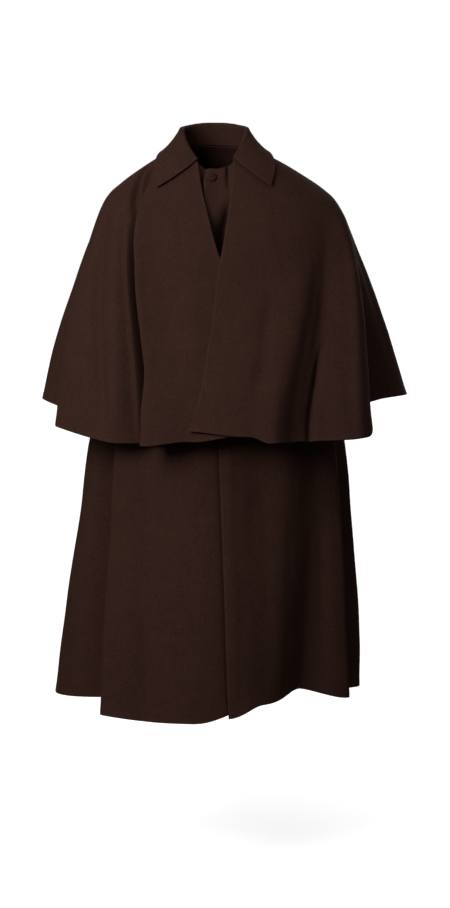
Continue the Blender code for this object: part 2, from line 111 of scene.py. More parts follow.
# Angles are in degrees, seen from above, with 0 at the centre front and 90 at the coat's
# own left. top and hem are the fold's angle at each end and bend how it goes from one to the other.
# out, slide and drop are how far it stands out, leans round and hangs down at the hem.
CAPE_FOLDS = (
    Fold("left front edge", 0, 0, 1.0, 0, 0, -0.013, 0.30, 1.2),
    Fold("left soft flat", 30, 8, 1.5, 0.001, 0, -0.003, 0.30, 1.2),
    Fold("left soft ridge", 48, 15, 1.5, 0.009, 0, 0.013, 0.30, 1.0),
    Fold("left front trough", 80, 25, 1.6, -0.030, 0, 0.020, 0.22, 0.9),
    Fold("left arm ridge", 94, 51.5, 1.4, 0.010, 0, 0.036, 0.24, 0.8),
    Fold("left arm trough", 99, 68, 1.4, -0.052, 0, -0.016, 0.24, 1.0),
    Fold("left back ridge", 106, 103, 1.5, 0.034, 0, -0.022, 0.30, 1.5),
    Fold("left blade trough", 118, 121, 2.0, -0.028, 0, 0, 0.34, 1.2),
    Fold("left blade ridge", 131, 138, 2.0, 0.028, 0, 0.004, 0.30, 1.2),
    Fold("left spine trough", 146, 153, 2.0, -0.024, 0, 0, 0.36, 1.2),
    Fold("left spine ridge", 163, 168, 2.0, 0.022, 0, 0.006, 0.34, 1.2),
    Fold("back trough", 180, 183, 2.0, -0.020, 0, 0, 0.40, 1.2),
    Fold("right spine ridge", 197, 198, 2.0, 0.025, 0, 0.008, 0.32, 1.2),
    Fold("right spine trough", 214, 213, 2.0, -0.026, 0, 0, 0.36, 1.2),
    Fold("right blade ridge", 229, 229, 2.0, 0.028, 0, 0.004, 0.30, 1.2),
    Fold("right blade trough", 242, 243, 2.0, -0.030, 0, 0, 0.34, 1.2),
    Fold("right back ridge", 252, 258, 1.5, 0.028, 0, -0.013, 0.30, 1.4),
    Fold("right arm trough", 261, 280, 1.4, -0.046, 0, 0.010, 0.26, 1.0),
    Fold("right arm ridge", 270, 296.5, 1.4, 0.014, 0, 0.028, 0.28, 1.0),
    Fold("right arm flat", 280, 321, 2.0, 0.004, 0, 0.032, 0.20, 1.0),
    Fold("right deep trough", 286, 334, 2.0, -0.044, 0.012, 0.026, 0.13, 0.8),
    Fold("right deep ridge", 290, 338.5, 2.0, 0.024, -0.024, 0.022, 0.12, 0.5),
    Fold("right front", 310, 349, 2.0, 0, 0, 0.009, 0.15, 1.0),
    Fold("right front edge", 360, 360, 1.0, 0, 0, -0.006, 0.30, 1.2),
)
BODY_FOLDS = (
    Fold("left front edge", 0, 0, 1.0, 0, 0, 0.008, 0.40, 1.2),
    Fold("left front lap", 34, 24, 1.0, 0, 0, -0.016, 0.40, 1.2),
    Fold("left front trough", 52, 49, 1.0, -0.044, 0, -0.030, 0.46, 1.2),
    Fold("left thigh ridge", 66, 66, 1.0, 0.026, 0, -0.006, 0.38, 1.1),
    Fold("left thigh trough", 76, 76, 1.0, -0.034, 0, -0.008, 0.40, 1.1),
    Fold("left side ridge", 86, 88, 1.0, 0.033, 0, -0.008, 0.36, 1.1),
    Fold("left side trough", 95, 99, 1.0, -0.030, 0, -0.040, 0.36, 1.1),
    Fold("left back ridge", 108, 113, 1.0, 0.070, 0, -0.088, 0.34, 0.9),
    Fold("left back trough", 124, 133, 1.0, -0.030, 0, -0.070, 0.36, 1.1),
    Fold("left seat ridge", 140, 149, 1.0, 0.035, 0, -0.056, 0.40, 1.1),
    Fold("left seat trough", 158, 164, 1.0, -0.026, 0, -0.042, 0.40, 1.1),
    Fold("back ridge", 178, 180, 1.0, 0.034, 0, -0.028, 0.36, 1.1),
    Fold("right seat trough", 196, 195, 1.0, -0.026, 0, -0.016, 0.40, 1.1),
    Fold("right seat ridge", 212, 210, 1.0, 0.034, 0, -0.008, 0.40, 1.1),
    Fold("right back trough", 230, 225, 1.0, -0.032, 0, 0, 0.38, 1.1),
    Fold("right back ridge", 250, 240, 1.0, 0.030, 0, 0, 0.36, 1.1),
    Fold("right side trough", 264, 254, 1.0, -0.026, 0, 0, 0.36, 1.1),
    Fold("right side ridge", 274, 272, 1.0, 0.038, 0, 0.003, 0.34, 1.1),
    Fold("right thigh trough", 296, 311.5, 1.0, -0.048, 0.012, -0.010, 0.34, 1.0),
    Fold("right thigh ridge", 300, 317.5, 1.0, 0.018, -0.018, 0.014, 0.34, 0.9),
    Fold("right front trough", 320, 336, 1.0, -0.010, 0, 0.021, 0.42, 1.2),
    Fold("right front lap", 336, 354, 1.0, 0, 0, 0.018, 0.42, 1.2),
    Fold("right front edge", 360, 360, 1.0, 0, 0, -0.014, 0.42, 1.2),
)
DROP_GROWTH = 3.0
LAP_ROWS = 3

# The folds at which the left and right side seams run
CAPE_SEAMS = (4.5, 16.5)
BODY_SEAMS = (5.5, 16.5)

ARMHOLE_TOP = "shoulder tip"
ARMHOLE_BOTTOM = "armpit"
ARMHOLE_SPREAD = 29.0
ARMHOLE_ROWS = 44
ARMHOLE_ROW_GAP = 0.002
ARMHOLE_TURN = 0.01

# angle is round the neck seam, stand how high the collar stands there, roll the radius of its
# turn, and edge_angle and edge_way the point of the cape over which its turned-down edge lies.
CollarRow = namedtuple("CollarRow", "name angle stand edge_angle edge_way roll")
COLLAR_ROWS = (
    CollarRow("left point", 33, 0.0080, 47, 0.130, 0.0028),
    CollarRow("left front", 58, 0.027, 66, 0.096, 0.0036),
    CollarRow("left side", 90, 0.043, 92, 0.056, 0.0044),
    CollarRow("left back", 135, 0.047, 136, 0.066, 0.0046),
    CollarRow("back", 180, 0.047, 180, 0.074, 0.0046),
    CollarRow("right back", 225, 0.047, 224, 0.066, 0.0046),
    CollarRow("right side", 270, 0.043, 268, 0.056, 0.0044),
    CollarRow("right front", 302, 0.027, 294, 0.100, 0.0036),
    CollarRow("right point", 332, 0.0080, 311, 0.143, 0.0028),
)
COLLAR_LEAN = 0.010
COLLAR_LEAN_HEIGHT = 0.047
COLLAR_REST = CLOTH / 2 + COLLAR_CLOTH / 2 + 0.0050
FALL_SWELL = 0.004
FALL_BEND = 0.35
STAND_SHARE = 0.30
ROLL_SHARE = 0.42

# How an edge is made: the radius that rounds it off, how wide its turned-in part is, how much
# that lifts the face and thickens the inside, and where its topstitching lies.
Edge = namedtuple("Edge", "rounding turn lift facing stitch")
SEAM = Edge(0.0012, 0.0, 0.0, 0.0, 0.0)
FRONT = Edge(0.0014, 0.0100, 0.00045, 0.0005, 0.0080)
HEM = Edge(0.0014, 0.0180, 0.00035, 0.0009, 0.0155)
COLLAR_EDGE = Edge(0.0014, 0.0080, 0.00035, 0.0002, 0.0062)
ARMHOLE = Edge(0.0012, 0.0090, 0.0003, 0.0006, 0.0070)

# A piece's edges: its first and last column, its top and its hem
LEFT_EDGES = (FRONT, SEAM, SEAM, HEM)
BACK_EDGES = (SEAM, SEAM, SEAM, HEM)
RIGHT_EDGES = (SEAM, FRONT, SEAM, HEM)
COLLAR_EDGES = (COLLAR_EDGE, COLLAR_EDGE, SEAM, COLLAR_EDGE)
TURN_FADE = 0.0025
STITCH_SINK = 0.00045
STITCH_SINK_WIDTH = 0.0009
STITCH_SPACING = 0.0042
STITCH_LENGTH = 0.0033
THREAD_WIDTH = 0.0005
THREAD_STRAY = 0.10
THREAD_SEED = 7
THREAD_SEGMENTS = 6
THREAD_RINGS = 4
STITCH_BED = 0.0001
STITCH_START = 0.004

# Over all the cloth, soft swells: how wide and long they are, and how far they stand out
SWELLS = ((0.090, 0.220, 0.0030), (0.034, 0.080, 0.0009), (0.017, 0.240, 0.0007))
SWELL_START = 0.10
SWELL_FADE = 0.25

# Small creases that the folds leave out. Each runs down the cloth from a place and way to
# another, is this wide to each side, and stands out by depth, or sinks where that is below 0.
Crease = namedtuple("Crease", "name start_place start_way end_place end_way width depth")
CAPE_CREASES = (
    Crease("right shoulder fold", 18.84, 0.105, 19.88, 0.285, 0.0045, -0.004),
    Crease("right shoulder fold, arm side", 18.64, 0.100, 19.68, 0.300, 0.0065, 0.014),
    Crease("right shoulder fold, front side", 19.08, 0.100, 20.10, 0.250, 0.0070, 0.010),
    Crease("right deep fold, high up", 19.86, 0.24, 19.86, 0.60, 0.0048, -0.008),
    Crease("right deep fold", 19.86, 0.20, 19.84, 1.12, 0.0050, -0.022),
    Crease("right arm ridge", 19.67, 0.20, 19.64, 1.04, 0.0080, 0.016),
    Crease("right arm swell", 19.25, 0.20, 19.20, 1.02, 0.0240, 0.007),
    Crease("right arm trough", 18.46, 0.26, 18.94, 1.02, 0.018, -0.010),
    Crease("right front hollow", 21.95, 0.20, 22.10, 0.80, 0.030, -0.002),
    Crease("left arm trough", 3.20, 0.24, 3.34, 1.14, 0.034, -0.010),
    Crease("left arm trough, low down", 3.27, 0.64, 3.19, 1.16, 0.0080, -0.014),
    Crease("left front swell", 2.45, 0.30, 2.62, 1.12, 0.026, 0.004),
    Crease("left arm fill", 3.00, 0.40, 2.92, 1.14, 0.014, 0.003),
    Crease("left front hollow", 1.15, 0.36, 1.35, 0.85, 0.018, -0.004),
    Crease("left arm ridge", 3.88, 0.30, 3.88, 1.12, 0.018, 0.008),
    Crease("left shoulder drag", 1.75, 0.10, 1.30, 0.42, 0.016, 0.0015),
    Crease("left back hollow", 5.50, 0.30, 5.60, 0.95, 0.018, -0.005),
    Crease("left blade crease", 7.35, 0.40, 7.60, 0.90, 0.012, 0.004),
    Crease("left spine crease", 8.55, 0.45, 8.30, 1.05, 0.015, -0.004),
    Crease("back crease", 10.40, 0.35, 10.65, 0.85, 0.020, 0.003),
    Crease("right spine crease", 12.60, 0.40, 12.40, 1.05, 0.013, -0.005),
    Crease("right blade crease", 14.60, 0.28, 14.45, 0.80, 0.018, -0.004),
    Crease("right back ridge", 15.40, 0.50, 15.65, 1.05, 0.014, 0.004),
)
CAPE_LEANS = (
    Crease("right front ridge", 20.90, 0.06, 20.90, 0.90, 0.032, 0.0150),
    Crease("left arm ridge", 3.88, 0.30, 3.88, 1.12, 0.018, -0.005),
)
BODY_CREASES = (
    Crease("right thigh fold", 17.72, 0.42, 17.66, 1.14, 0.026, -0.032),
    Crease("right thigh hollow", 19.86, 0.52, 19.86, 1.04, 0.022, -0.005),
    Crease("right front lap", 21.62, 0.42, 21.62, 1.15, 0.013, -0.016),
    Crease("right front neck", 21.05, -0.03, 21.35, 0.075, 0.008, -0.010),
    Crease("right front throat", 21.60, 0.02, 21.70, 0.26, 0.060, -0.009),
    Crease("left front edge ridge", 0.14, 0.46, 0.18, 1.02, 0.012, 0.003),
    Crease("left thigh trough", 1.35, 0.62, 1.52, 1.05, 0.020, -0.0025),
    Crease("left thigh crease", 2.44, 0.64, 2.46, 0.98, 0.014, -0.005),
    Crease("left side pleat", 2.92, 0.56, 3.03, 1.15, 0.008, 0.005),
    Crease("left hem pleat", 4.85, 0.55, 5.20, 1.05, 0.010, 0.004),
    Crease("left back crease", 6.60, 0.52, 6.45, 1.02, 0.016, 0.004),
    Crease("left seat crease", 7.55, 0.48, 7.40, 0.95, 0.020, -0.005),
    Crease("left spine crease", 9.60, 0.42, 9.40, 0.90, 0.018, -0.004),
    Crease("back crease", 10.80, 0.55, 11.20, 1.05, 0.013, 0.003),
    Crease("right spine crease", 12.45, 0.50, 12.60, 1.10, 0.016, -0.005),
    Crease("right seat crease", 14.40, 0.40, 14.60, 0.85, 0.020, 0.004),
    Crease("right back crease", 15.70, 0.52, 15.82, 1.04, 0.015, -0.006),
)

# Dips in both lapped fronts of the body alike, between two points seen from the front
Dip = namedtuple("Dip", "name start_x start_z end_x end_z width depth")
FRONT_DIPS = (
    Dip("left front turn", 0.078, -0.500, 0.118, -1.360, 0.0400, -0.012),
    Dip("between the cape's edges", 0.0000, 0.0000, -0.0020, -0.300, 0.0260, -0.009),
    Dip("deep in the throat", 0.0060, -0.130, -0.0040, -0.300, 0.0200, -0.014),
    Dip("beside the button", 0.0205, -0.020, 0.0205, -0.096, 0.0060, -0.010),
    Dip("under the cape's edge", 0.0290, -0.094, -0.0080, -0.262, 0.0120, -0.024),
)
CREASE_RISE = 0.30
CREASE_FALL = 0.25
Soft = namedtuple("Soft", "creases leans dips")
CAPE_SOFT = Soft(CAPE_CREASES, CAPE_LEANS, ())
BODY_SOFT = Soft(BODY_CREASES, (), FRONT_DIPS)

# Mesh: how far apart the columns and rows are
CAPE_PITCH = (0.0045, 0.0060)
CAPE_FOLD_PITCH = (0.0030, 0.0060)
BODY_PITCH = (0.0058, 0.0080)
COLLAR_PITCH = (0.0030, 0.0030)
# How far in from a turned edge its worn nap and its painted sheen highlight reach
WEAR_AND_HIGHLIGHT_REACH = 0.0045

# Distances of the mesh lines from a finished side edge and from a hem
SIDE_LINES = (
    0.0, 0.0002, 0.0006, 0.0013, 0.0024, 0.0042, 0.0060, 0.0070, 0.0080, 0.0090, 0.0105, 0.0130,
)
HEM_LINES = (
    0.0, 0.0002, 0.0006, 0.0013, 0.0026, 0.0055, 0.0090, 0.0125, 0.0143, 0.0155, 0.0167, 0.0190, 0.0220,
)
SEAM_LINES = (0.0, 0.0003, 0.0008, 0.0014, 0.0030)

# How finely a surface is sampled where it is measured: across a panel, to each fold, round and
# down the collar, and over the left front round the button
PANEL_SAMPLES = 1600
FOLD_SAMPLES = 40
COLLAR_SAMPLES = (900, 500)
COLLAR_STAGES = (ROLL_SHARE, 0.8, 1.0)
BUTTON_SAMPLES = 200
BUTTON_PLACES = (0.05, 2.0)
BUTTON_WAYS = (0.01, 0.12)
FACE_STEP = 0.005
LEAST_FLARE = 0.05


def between(first, second, t):
    return first + (second - first) * t


def smooth_step(x):
    x = np.clip(x, 0.0, 1.0)
    return x * x * (3 - 2 * x)


def lengths(vectors):
    return np.linalg.norm(vectors, axis=-1)


def unit(vectors):
    return vectors / np.maximum(lengths(vectors), 1e-12)[..., None]


def new_object(name, data):
    """A new object in the scene, at the origin."""
    made = bpy.data.objects.new(name, data)
    bpy.context.scene.collection.objects.link(made)
    return made


def fill(node, values):
    """Plain values for a node's inputs."""
    for name, value in values.items():
        node.inputs[name].default_value = value


def ways_of(sections):
    """How far down the cloth each section lies along the side, in metres."""
    ways = [0.0]
    for upper, lower in zip(sections, sections[1:]):
        ways.append(ways[-1] + math.hypot(lower.width - upper.width, lower.z_side - upper.z_side))
    return np.array(ways)


def blend_rows(keys, values, x):
    """A smooth curve through a table column's values."""
    keys = np.asarray(keys, float)
    values = np.asarray(values, float)
    slopes = np.empty_like(values)
    slopes[1:-1] = (values[2:] - values[:-2]) / (keys[2:] - keys[:-2])
    slopes[0] = (values[1] - values[0]) / (keys[1] - keys[0])
    slopes[-1] = (values[-1] - values[-2]) / (keys[-1] - keys[-2])
    i = np.clip(np.searchsorted(keys, x, side="right") - 1, 0, len(keys) - 2)
    span = keys[i + 1] - keys[i]
    t = np.clip((x - keys[i]) / span, 0.0, 1.0)
    return (
        (2 * t**3 - 3 * t**2 + 1) * values[i]
        + (t**3 - 2 * t**2 + t) * span * slopes[i]
        + (3 * t**2 - 2 * t**3) * values[i + 1]
        + (t**3 - t**2) * span * slopes[i + 1]
    )


class Cloth:
    """One layer of the garment: its sections and folds, and the surface that they give."""

    def __init__(self, sections, folds, armholes):
        self.sections = sections
        self.folds = folds
        self.armholes = armholes
        self.length = ways_of(sections)[-1]
        self.ways = ways_of(sections) / self.length
        self.last = len(folds) - 1
        self.column = {
            name: np.array([getattr(fold, name) for fold in folds], float)
            for name in Fold._fields[1:]
        }

    def size(self, name, way):
        return blend_rows(self.ways, [getattr(section, name) for section in self.sections], way)

    def way_of(self, name):
        return self.ways[[section.name for section in self.sections].index(name)]

    def ring(self, angle, way):
        """Points of the plain rings, with no folds, and the directions that face out there."""
        a = np.radians(angle)
        forward = np.cos(a) > 0
        width = self.size("width", way)
        depth = np.where(forward, self.size("front", way), self.size("back", way))
        z_middle = np.where(forward, self.size("z_front", way), self.size("z_back", way))
        share = np.cos(a) ** 2
        point = np.stack(
            [
                self.size("shift", way) + width * np.sin(a),
                -depth * np.cos(a),
                (1 - share) * self.size("z_side", way) + share * z_middle,
            ],
            axis=-1,
        )
        outward = np.stack([np.sin(a) / width, -np.cos(a) / depth, 0 * a], axis=-1)
        return point, unit(outward)

    def edge_angle(self, side, way):
        offset = self.size(side + "_edge", way)
        angle = np.degrees(np.arcsin(offset / self.size("width", way)))
        return angle if side == "left" else 360 + angle

    def fold_angle(self, row, way):
        top, hem, bend = (self.column[name][row] for name in ("top", "hem", "bend"))
        angle = hem + (top - hem) * np.clip(1 - way, 0, 1) ** bend
        angle = np.where(row == 0, self.edge_angle("left", way), angle)
        return np.where(row == self.last, self.edge_angle("right", way), angle)

    def row_of(self, place):
        return np.clip(np.floor(place).astype(int), 0, self.last - 1)

    def nominal_angle(self, place, way):
        row = self.row_of(place)
        first, second = self.fold_angle(row, way), self.fold_angle(row + 1, way)
        return first + (second - first) * (place - row)

    def armhole_spread(self, way):
        if not self.armholes:
            return 0.0 * way
        top, bottom = self.way_of(ARMHOLE_TOP), self.way_of(ARMHOLE_BOTTOM)
        across = (way - (top + bottom) / 2) / ((bottom - top) / 2)
        return ARMHOLE_SPREAD * np.sqrt(np.maximum(0.0, 1 - across * across))

    def surface(self, place, way, panel):
        """The cloth's middle, the plain rings' points there, and the way that those face."""
        place, way = np.broadcast_arrays(np.asarray(place, float), np.asarray(way, float))
        first, last = panel
        low = self.nominal_angle(np.full_like(way, first), way)
        high = self.nominal_angle(np.full_like(way, last), way)
        spread = self.armhole_spread(way)
        cut_low = low + spread * (first > 0)
        cut_high = high - spread * (last < self.last)
        share = (self.nominal_angle(place, way) - low) / (high - low)
        angle = cut_low + share * (cut_high - cut_low)
        ring, outward = self.ring(angle, way)
        around = np.stack([-outward[..., 1], outward[..., 0], 0 * angle], axis=-1)
        row = self.row_of(place)
        swing = (1 - np.cos(np.pi * (place - row))) / 2
        out = slide = drop = 0.0
        for fold, weight in ((row, 1 - swing), (row + 1, swing)):
            start = self.column["start"][fold]
            grown = np.maximum(0.0, (way - start) / (1 - start)) ** self.column["growth"][fold]
            out = out + weight * self.column["out"][fold] * grown
            slide = slide + weight * self.column["slide"][fold] * grown
            drop = drop + weight * self.column["drop"][fold] * way**DROP_GROWTH
        sink = self.under_lap(place, angle, way)
        point = ring + outward * (out - sink)[..., None] + around * slide[..., None]
        point[..., 2] -= drop
        return point, ring, self.face(angle, way)

    def face(self, angle, way):
        """The direction square to the plain rings' surface, facing out."""
        upper, outward = self.ring(angle, np.maximum(way - FACE_STEP, 0))
        lower, _ = self.ring(angle, np.minimum(way + FACE_STEP, 1))
        down = unit(lower - upper)
        return unit(outward - down * (outward * down).sum(axis=-1)[..., None])

    def under_lap(self, place, angle, way):
        """How far the right front sinks to pass under the left front."""
        across = self.size("width", way) * np.sin(np.radians(angle))
        past = across - (self.size("left_edge", way) - OVERLAP_FADE)
        sink = LAYER_DROP * smooth_step(past / OVERLAP_FADE)
        return np.where(place < self.last - LAP_ROWS, 0.0, sink)


def along(points, axis):
    """How far each point of a grid lies from the grid's start, measured on the cloth."""
    steps = lengths(np.diff(points, axis=axis))
    start = np.zeros_like(np.take(steps, [0], axis=axis))
    return np.concatenate([start, np.cumsum(steps, axis=axis)], axis=axis)


def even_shares(surface, first, last, ways, pitch, inset):
    """Shares of the panel's width at which its columns are a pitch apart on the cloth."""
    places = np.linspace(first, last, PANEL_SAMPLES)[:, None]
    run = along(surface(places, ways[len(ways) // 3 :: 8][None, :]), 0).mean(axis=1)
    count = max(8, round((run[-1] - 2 * inset) / pitch))
    even = np.interp(np.linspace(0, run[-1], count + 1), run, places[:, 0])
    return (even - first) / (last - first)


def columns_of(surface, first, last, ways, pitch, first_lines, last_lines):
    """The place of every point of the mesh: lines near both side edges, and even ones between."""
    places = np.linspace(first, last, FOLD_SAMPLES * round(last - first) + 1)
    run = along(surface(places[:, None], ways[None, :]), 0)
    ends = np.array(last_lines)[::-1]
    left = np.stack([np.interp(first_lines, row, places) for row in run.T], axis=1)
    right = np.stack([np.interp(row[-1] - ends, row, places) for row in run.T], axis=1)
    shares = even_shares(surface, first, last, ways, pitch, first_lines[-1])[1:-1, None]
    inner = left[-1] + shares * (right[0] - left[-1])
    return np.concatenate([left, inner, right])


def rows_of(length, pitch, top_lines, hem_lines):
    """The ways down the cloth of the mesh's rows."""
    start, end = top_lines[-1], length - hem_lines[-1]
    inner = np.linspace(start, end, max(4, round((end - start) / pitch)) + 1)[1:-1]
    rows = np.concatenate([np.array(top_lines), inner, length - np.array(hem_lines)[::-1]])
    return rows / length


def with_armhole_rows(cloth, ways):
    """Rows crowd towards the armhole's top and bottom, where its edge turns."""
    top, bottom = cloth.way_of(ARMHOLE_TOP), cloth.way_of(ARMHOLE_BOTTOM)
    turns = (1 - np.cos(np.pi * np.arange(ARMHOLE_ROWS + 1) / ARMHOLE_ROWS)) / 2
    outside = ways[(ways < top - ARMHOLE_ROW_GAP) | (ways > bottom + ARMHOLE_ROW_GAP)]
    return np.sort(np.concatenate([outside, between(top, bottom, turns)]))


def unevenness(points, way):
    """How far the cloth swells in and out by itself, the same in every layer at one place."""
    swell = np.zeros(points.shape[:-1])
    for width, length, height in SWELLS:
        scaled = (points / (width, width, length)).reshape(-1, 3)
        values = np.array([noise.noise(Vector(p)) for p in scaled.tolist()])
        swell += height * values.reshape(swell.shape)
    return swell * smooth_step((way - SWELL_START) / SWELL_FADE)


def crease_heights(creases, points, place, way, panel):
    """How far the small creases stand out at each point of a panel's grid."""
    first, last = panel
    run = along(points, 0)
    heights = np.zeros(run.shape)
    for crease in creases:
        ends = (crease.start_place, crease.end_place)
        if max(ends) < first - 1 or min(ends) > last + 1:
            continue
        t = (way[0] - crease.start_way) / (crease.end_way - crease.start_way)
        line = between(*ends, t)
        weight = smooth_step(t / CREASE_RISE) * smooth_step((1 - t) / CREASE_FALL)
        inside = np.clip(line, first, last)
        speed = run[-1] / (last - first)
        middle = np.array([np.interp(inside[k], place[:, k], run[:, k]) for k in range(len(line))])
        across = (run - middle - (line - inside) * speed) / crease.width
        heights += crease.depth * weight * np.exp(-across * across)
    return heights


def dip_heights(dips, ring):
    """How far the front stands out for dips that are given as seen from the front."""
    heights = np.zeros(ring.shape[:-1])
    for dip in dips:
        t = (ring[..., 2] - dip.start_z) / (dip.end_z - dip.start_z)
        weight = smooth_step(t / CREASE_RISE) * smooth_step((1 - t) / CREASE_FALL)
        across = (ring[..., 0] - between(dip.start_x, dip.end_x, t)) / dip.width
        heights += dip.depth * weight * (ring[..., 1] < 0) * np.exp(-across * across)
    return heights


def edge_profile(distance, edge, weight):
    """The share of the full thickness, and what the turned-in part and its stitching add."""
    fullness = np.sqrt(1 - (1 - np.clip(distance / edge.rounding, 0, 1)) ** 2)
    turned = groove = 0 * distance
    if edge.turn:
        turned = weight * smooth_step((edge.turn - distance) / TURN_FADE + 0.5)
        groove = weight * np.exp(-(((distance - edge.stitch) / STITCH_SINK_WIDTH) ** 2))
    return fullness, turned * edge.lift, turned * edge.facing, groove


def normals_of(points, hint):
    """The grid's own normals, turned to the side that the hint faces."""
    normals = unit(np.cross(np.gradient(points, axis=0), np.gradient(points, axis=1)))
    if (normals * hint).sum() < 0:
        normals = -normals
    return normals


def flat_cut(points, grain):
    """Each point's place on the cloth as it was cut, in metres: a part of a ring, laid flat."""
    run, down = along(points, 0), along(points, 1)
    total = run[-1]
    flare = max(LEAST_FLARE, (total[-1] - total[0]) / down[:, -1].mean())
    neck = total[0] / flare
    angle = (run - grain * total) / (neck + down.mean(axis=0))
    radius = neck + down
    return np.stack([radius * np.sin(angle), neck - radius * np.cos(angle)], axis=-1)


def area_of(points):
    across = np.diff(points, axis=0)
    down = np.diff(points, axis=1)
    return lengths(np.cross(across[:, :-1] + across[:, 1:], down[:-1] + down[1:])).sum() / 4


def edge_distances(points):
    """How far each point lies from the first and last column and from the top and the hem."""
    run, down = along(points, 0), along(points, 1)
    return run, run[-1] - run, down, down[:, -1:] - down


def shell(name, points, hint, edges, thickness, grain, side_weights=(1.0, 1.0)):
    """A closed cloth shell round a grid of points, with its four edges made up."""
    normals = normals_of(points, hint)
    distances = edge_distances(points)
    fullness = np.ones(points.shape[:-1])
    lift, facing, groove, wear_and_highlight = (np.zeros(fullness.shape) for _ in range(4))
    for distance, edge, weight in zip(distances, edges, (*side_weights, 1.0, 1.0)):
        full, lifted, faced, sunk = edge_profile(distance, edge, weight)
        fullness *= full
        lift = np.maximum(lift, lifted)
        facing = np.maximum(facing, faced)
        groove = np.maximum(groove, sunk)
        # Lighter towards each turned edge: worn nap and a painted sheen highlight
        if edge.turn:
            wear_and_highlight = np.maximum(wear_and_highlight, weight * np.exp(-distance / WEAR_AND_HIGHLIGHT_REACH))
    outer, inner = (
        points + side * normals * (fullness * (thickness / 2 + added - groove * STITCH_SINK))[..., None]
        for side, added in ((1, lift), (-1, facing))
    )
    columns, rows = fullness.shape
    front = np.arange(columns * rows).reshape(columns, rows)
    back = front.copy()
    inside = inner[1:-1, 1:-1].reshape(-1, 3)
    back[1:-1, 1:-1] = columns * rows + np.arange(len(inside)).reshape(columns - 2, -1)
    middle = (columns // 2, rows // 2)
    beside, below = points[middle[0] + 1, middle[1]], points[middle[0], middle[1] + 1]
    around, down = beside - points[middle], below - points[middle]
    outwards = np.cross(around, down) @ normals[middle] > 0
    turn = slice(None) if outwards else slice(None, None, -1)
    back_turn = slice(None, None, -1) if outwards else slice(None)

    def both(values):
        outside = values.reshape(columns * rows, -1)
        return np.concatenate([outside, values[1:-1, 1:-1].reshape(len(inside), -1)])

    vertices = np.concatenate([outer.reshape(-1, 3), inside])
    quads = np.concatenate([quads_of(front)[:, turn], quads_of(back)[:, back_turn]])
    mesh = bpy.data.meshes.new(name)
    mesh.from_pydata(vertices.tolist(), [], quads.tolist())
    cut = flat_cut(points, grain)
    layer = mesh.uv_layers.new(name="cut")
    corners = np.empty(len(mesh.loops), np.int32)
    mesh.loops.foreach_get("vertex_index", corners)
    layer.data.foreach_set("uv", both(cut)[corners].ravel())
    # Stored for the material, which paints the turned edges lighter for worn nap and a painted sheen
    # highlight
    mesh.attributes.new("edge_wear_and_highlight", "FLOAT", "POINT").data.foreach_set("value", both(wear_and_highlight).ravel())
    mesh.shade_smooth()
    piece = new_object(name, mesh)
    flat = np.ptp(cut.reshape(-1, 2), axis=0)
    return piece, outer, normals, distances, (flat, area_of(points))


def quads_of(numbers):
    """Quads through a grid of vertex numbers."""
    return np.stack(
        [numbers[:-1, :-1], numbers[1:, :-1], numbers[1:, 1:], numbers[:-1, 1:]], axis=-1
    ).reshape(-1, 4)


def armhole_weight(cloth, ways):
    """1 in an armhole's rows, where the side edge is turned in, and 0 where it is a seam."""
    top, bottom = cloth.way_of(ARMHOLE_TOP), cloth.way_of(ARMHOLE_BOTTOM)
    return smooth_step((ways - top) / ARMHOLE_TURN) * smooth_step((bottom - ways) / ARMHOLE_TURN)


def make_panel(cloth, name, panel, soft, pitch, edges, grain):
    """One panel of the cape or the body, as a shell with its small creases."""
    first, last = panel
    ways = rows_of(cloth.length, pitch[1], SEAM_LINES, HEM_LINES)
    if cloth.armholes:
        ways = with_armhole_rows(cloth, ways)
    first_lines, last_lines = (SIDE_LINES if edge.turn else SEAM_LINES for edge in edges[:2])

    def middle(place, way):
        return cloth.surface(place, way, panel)[0]

    place = columns_of(middle, first, last, ways, pitch[0], first_lines, last_lines)
    way = np.broadcast_to(ways, place.shape)
    points, ring, face = cloth.surface(place, way, panel)
    stand = unevenness(ring, way) + dip_heights(soft.dips, ring)
    stand += crease_heights(soft.creases, points, place, way, panel)
    lean = crease_heights(soft.leans, points, place, way, panel)
    around = unit(np.stack([-face[..., 1], face[..., 0], 0 * lean], axis=-1))
    points = points + face * stand[..., None] + around * lean[..., None]
    side_weights = (1.0, 1.0)
    if cloth.armholes:
        armhole = armhole_weight(cloth, ways)
        edges = [ARMHOLE if edge is SEAM and side < 2 else edge for side, edge in enumerate(edges)]
        side_weights = [armhole if edge is ARMHOLE else 1.0 for edge in edges[:2]]
    return shell(name, points, face, edges, CLOTH, grain, side_weights)


def above(cloth, angle, way, height):
    """Points this high over the plain rings of the cloth, square to their surface."""
    return cloth.ring(angle, way)[0] + cloth.face(angle, way) * np.asarray(height)[..., None]


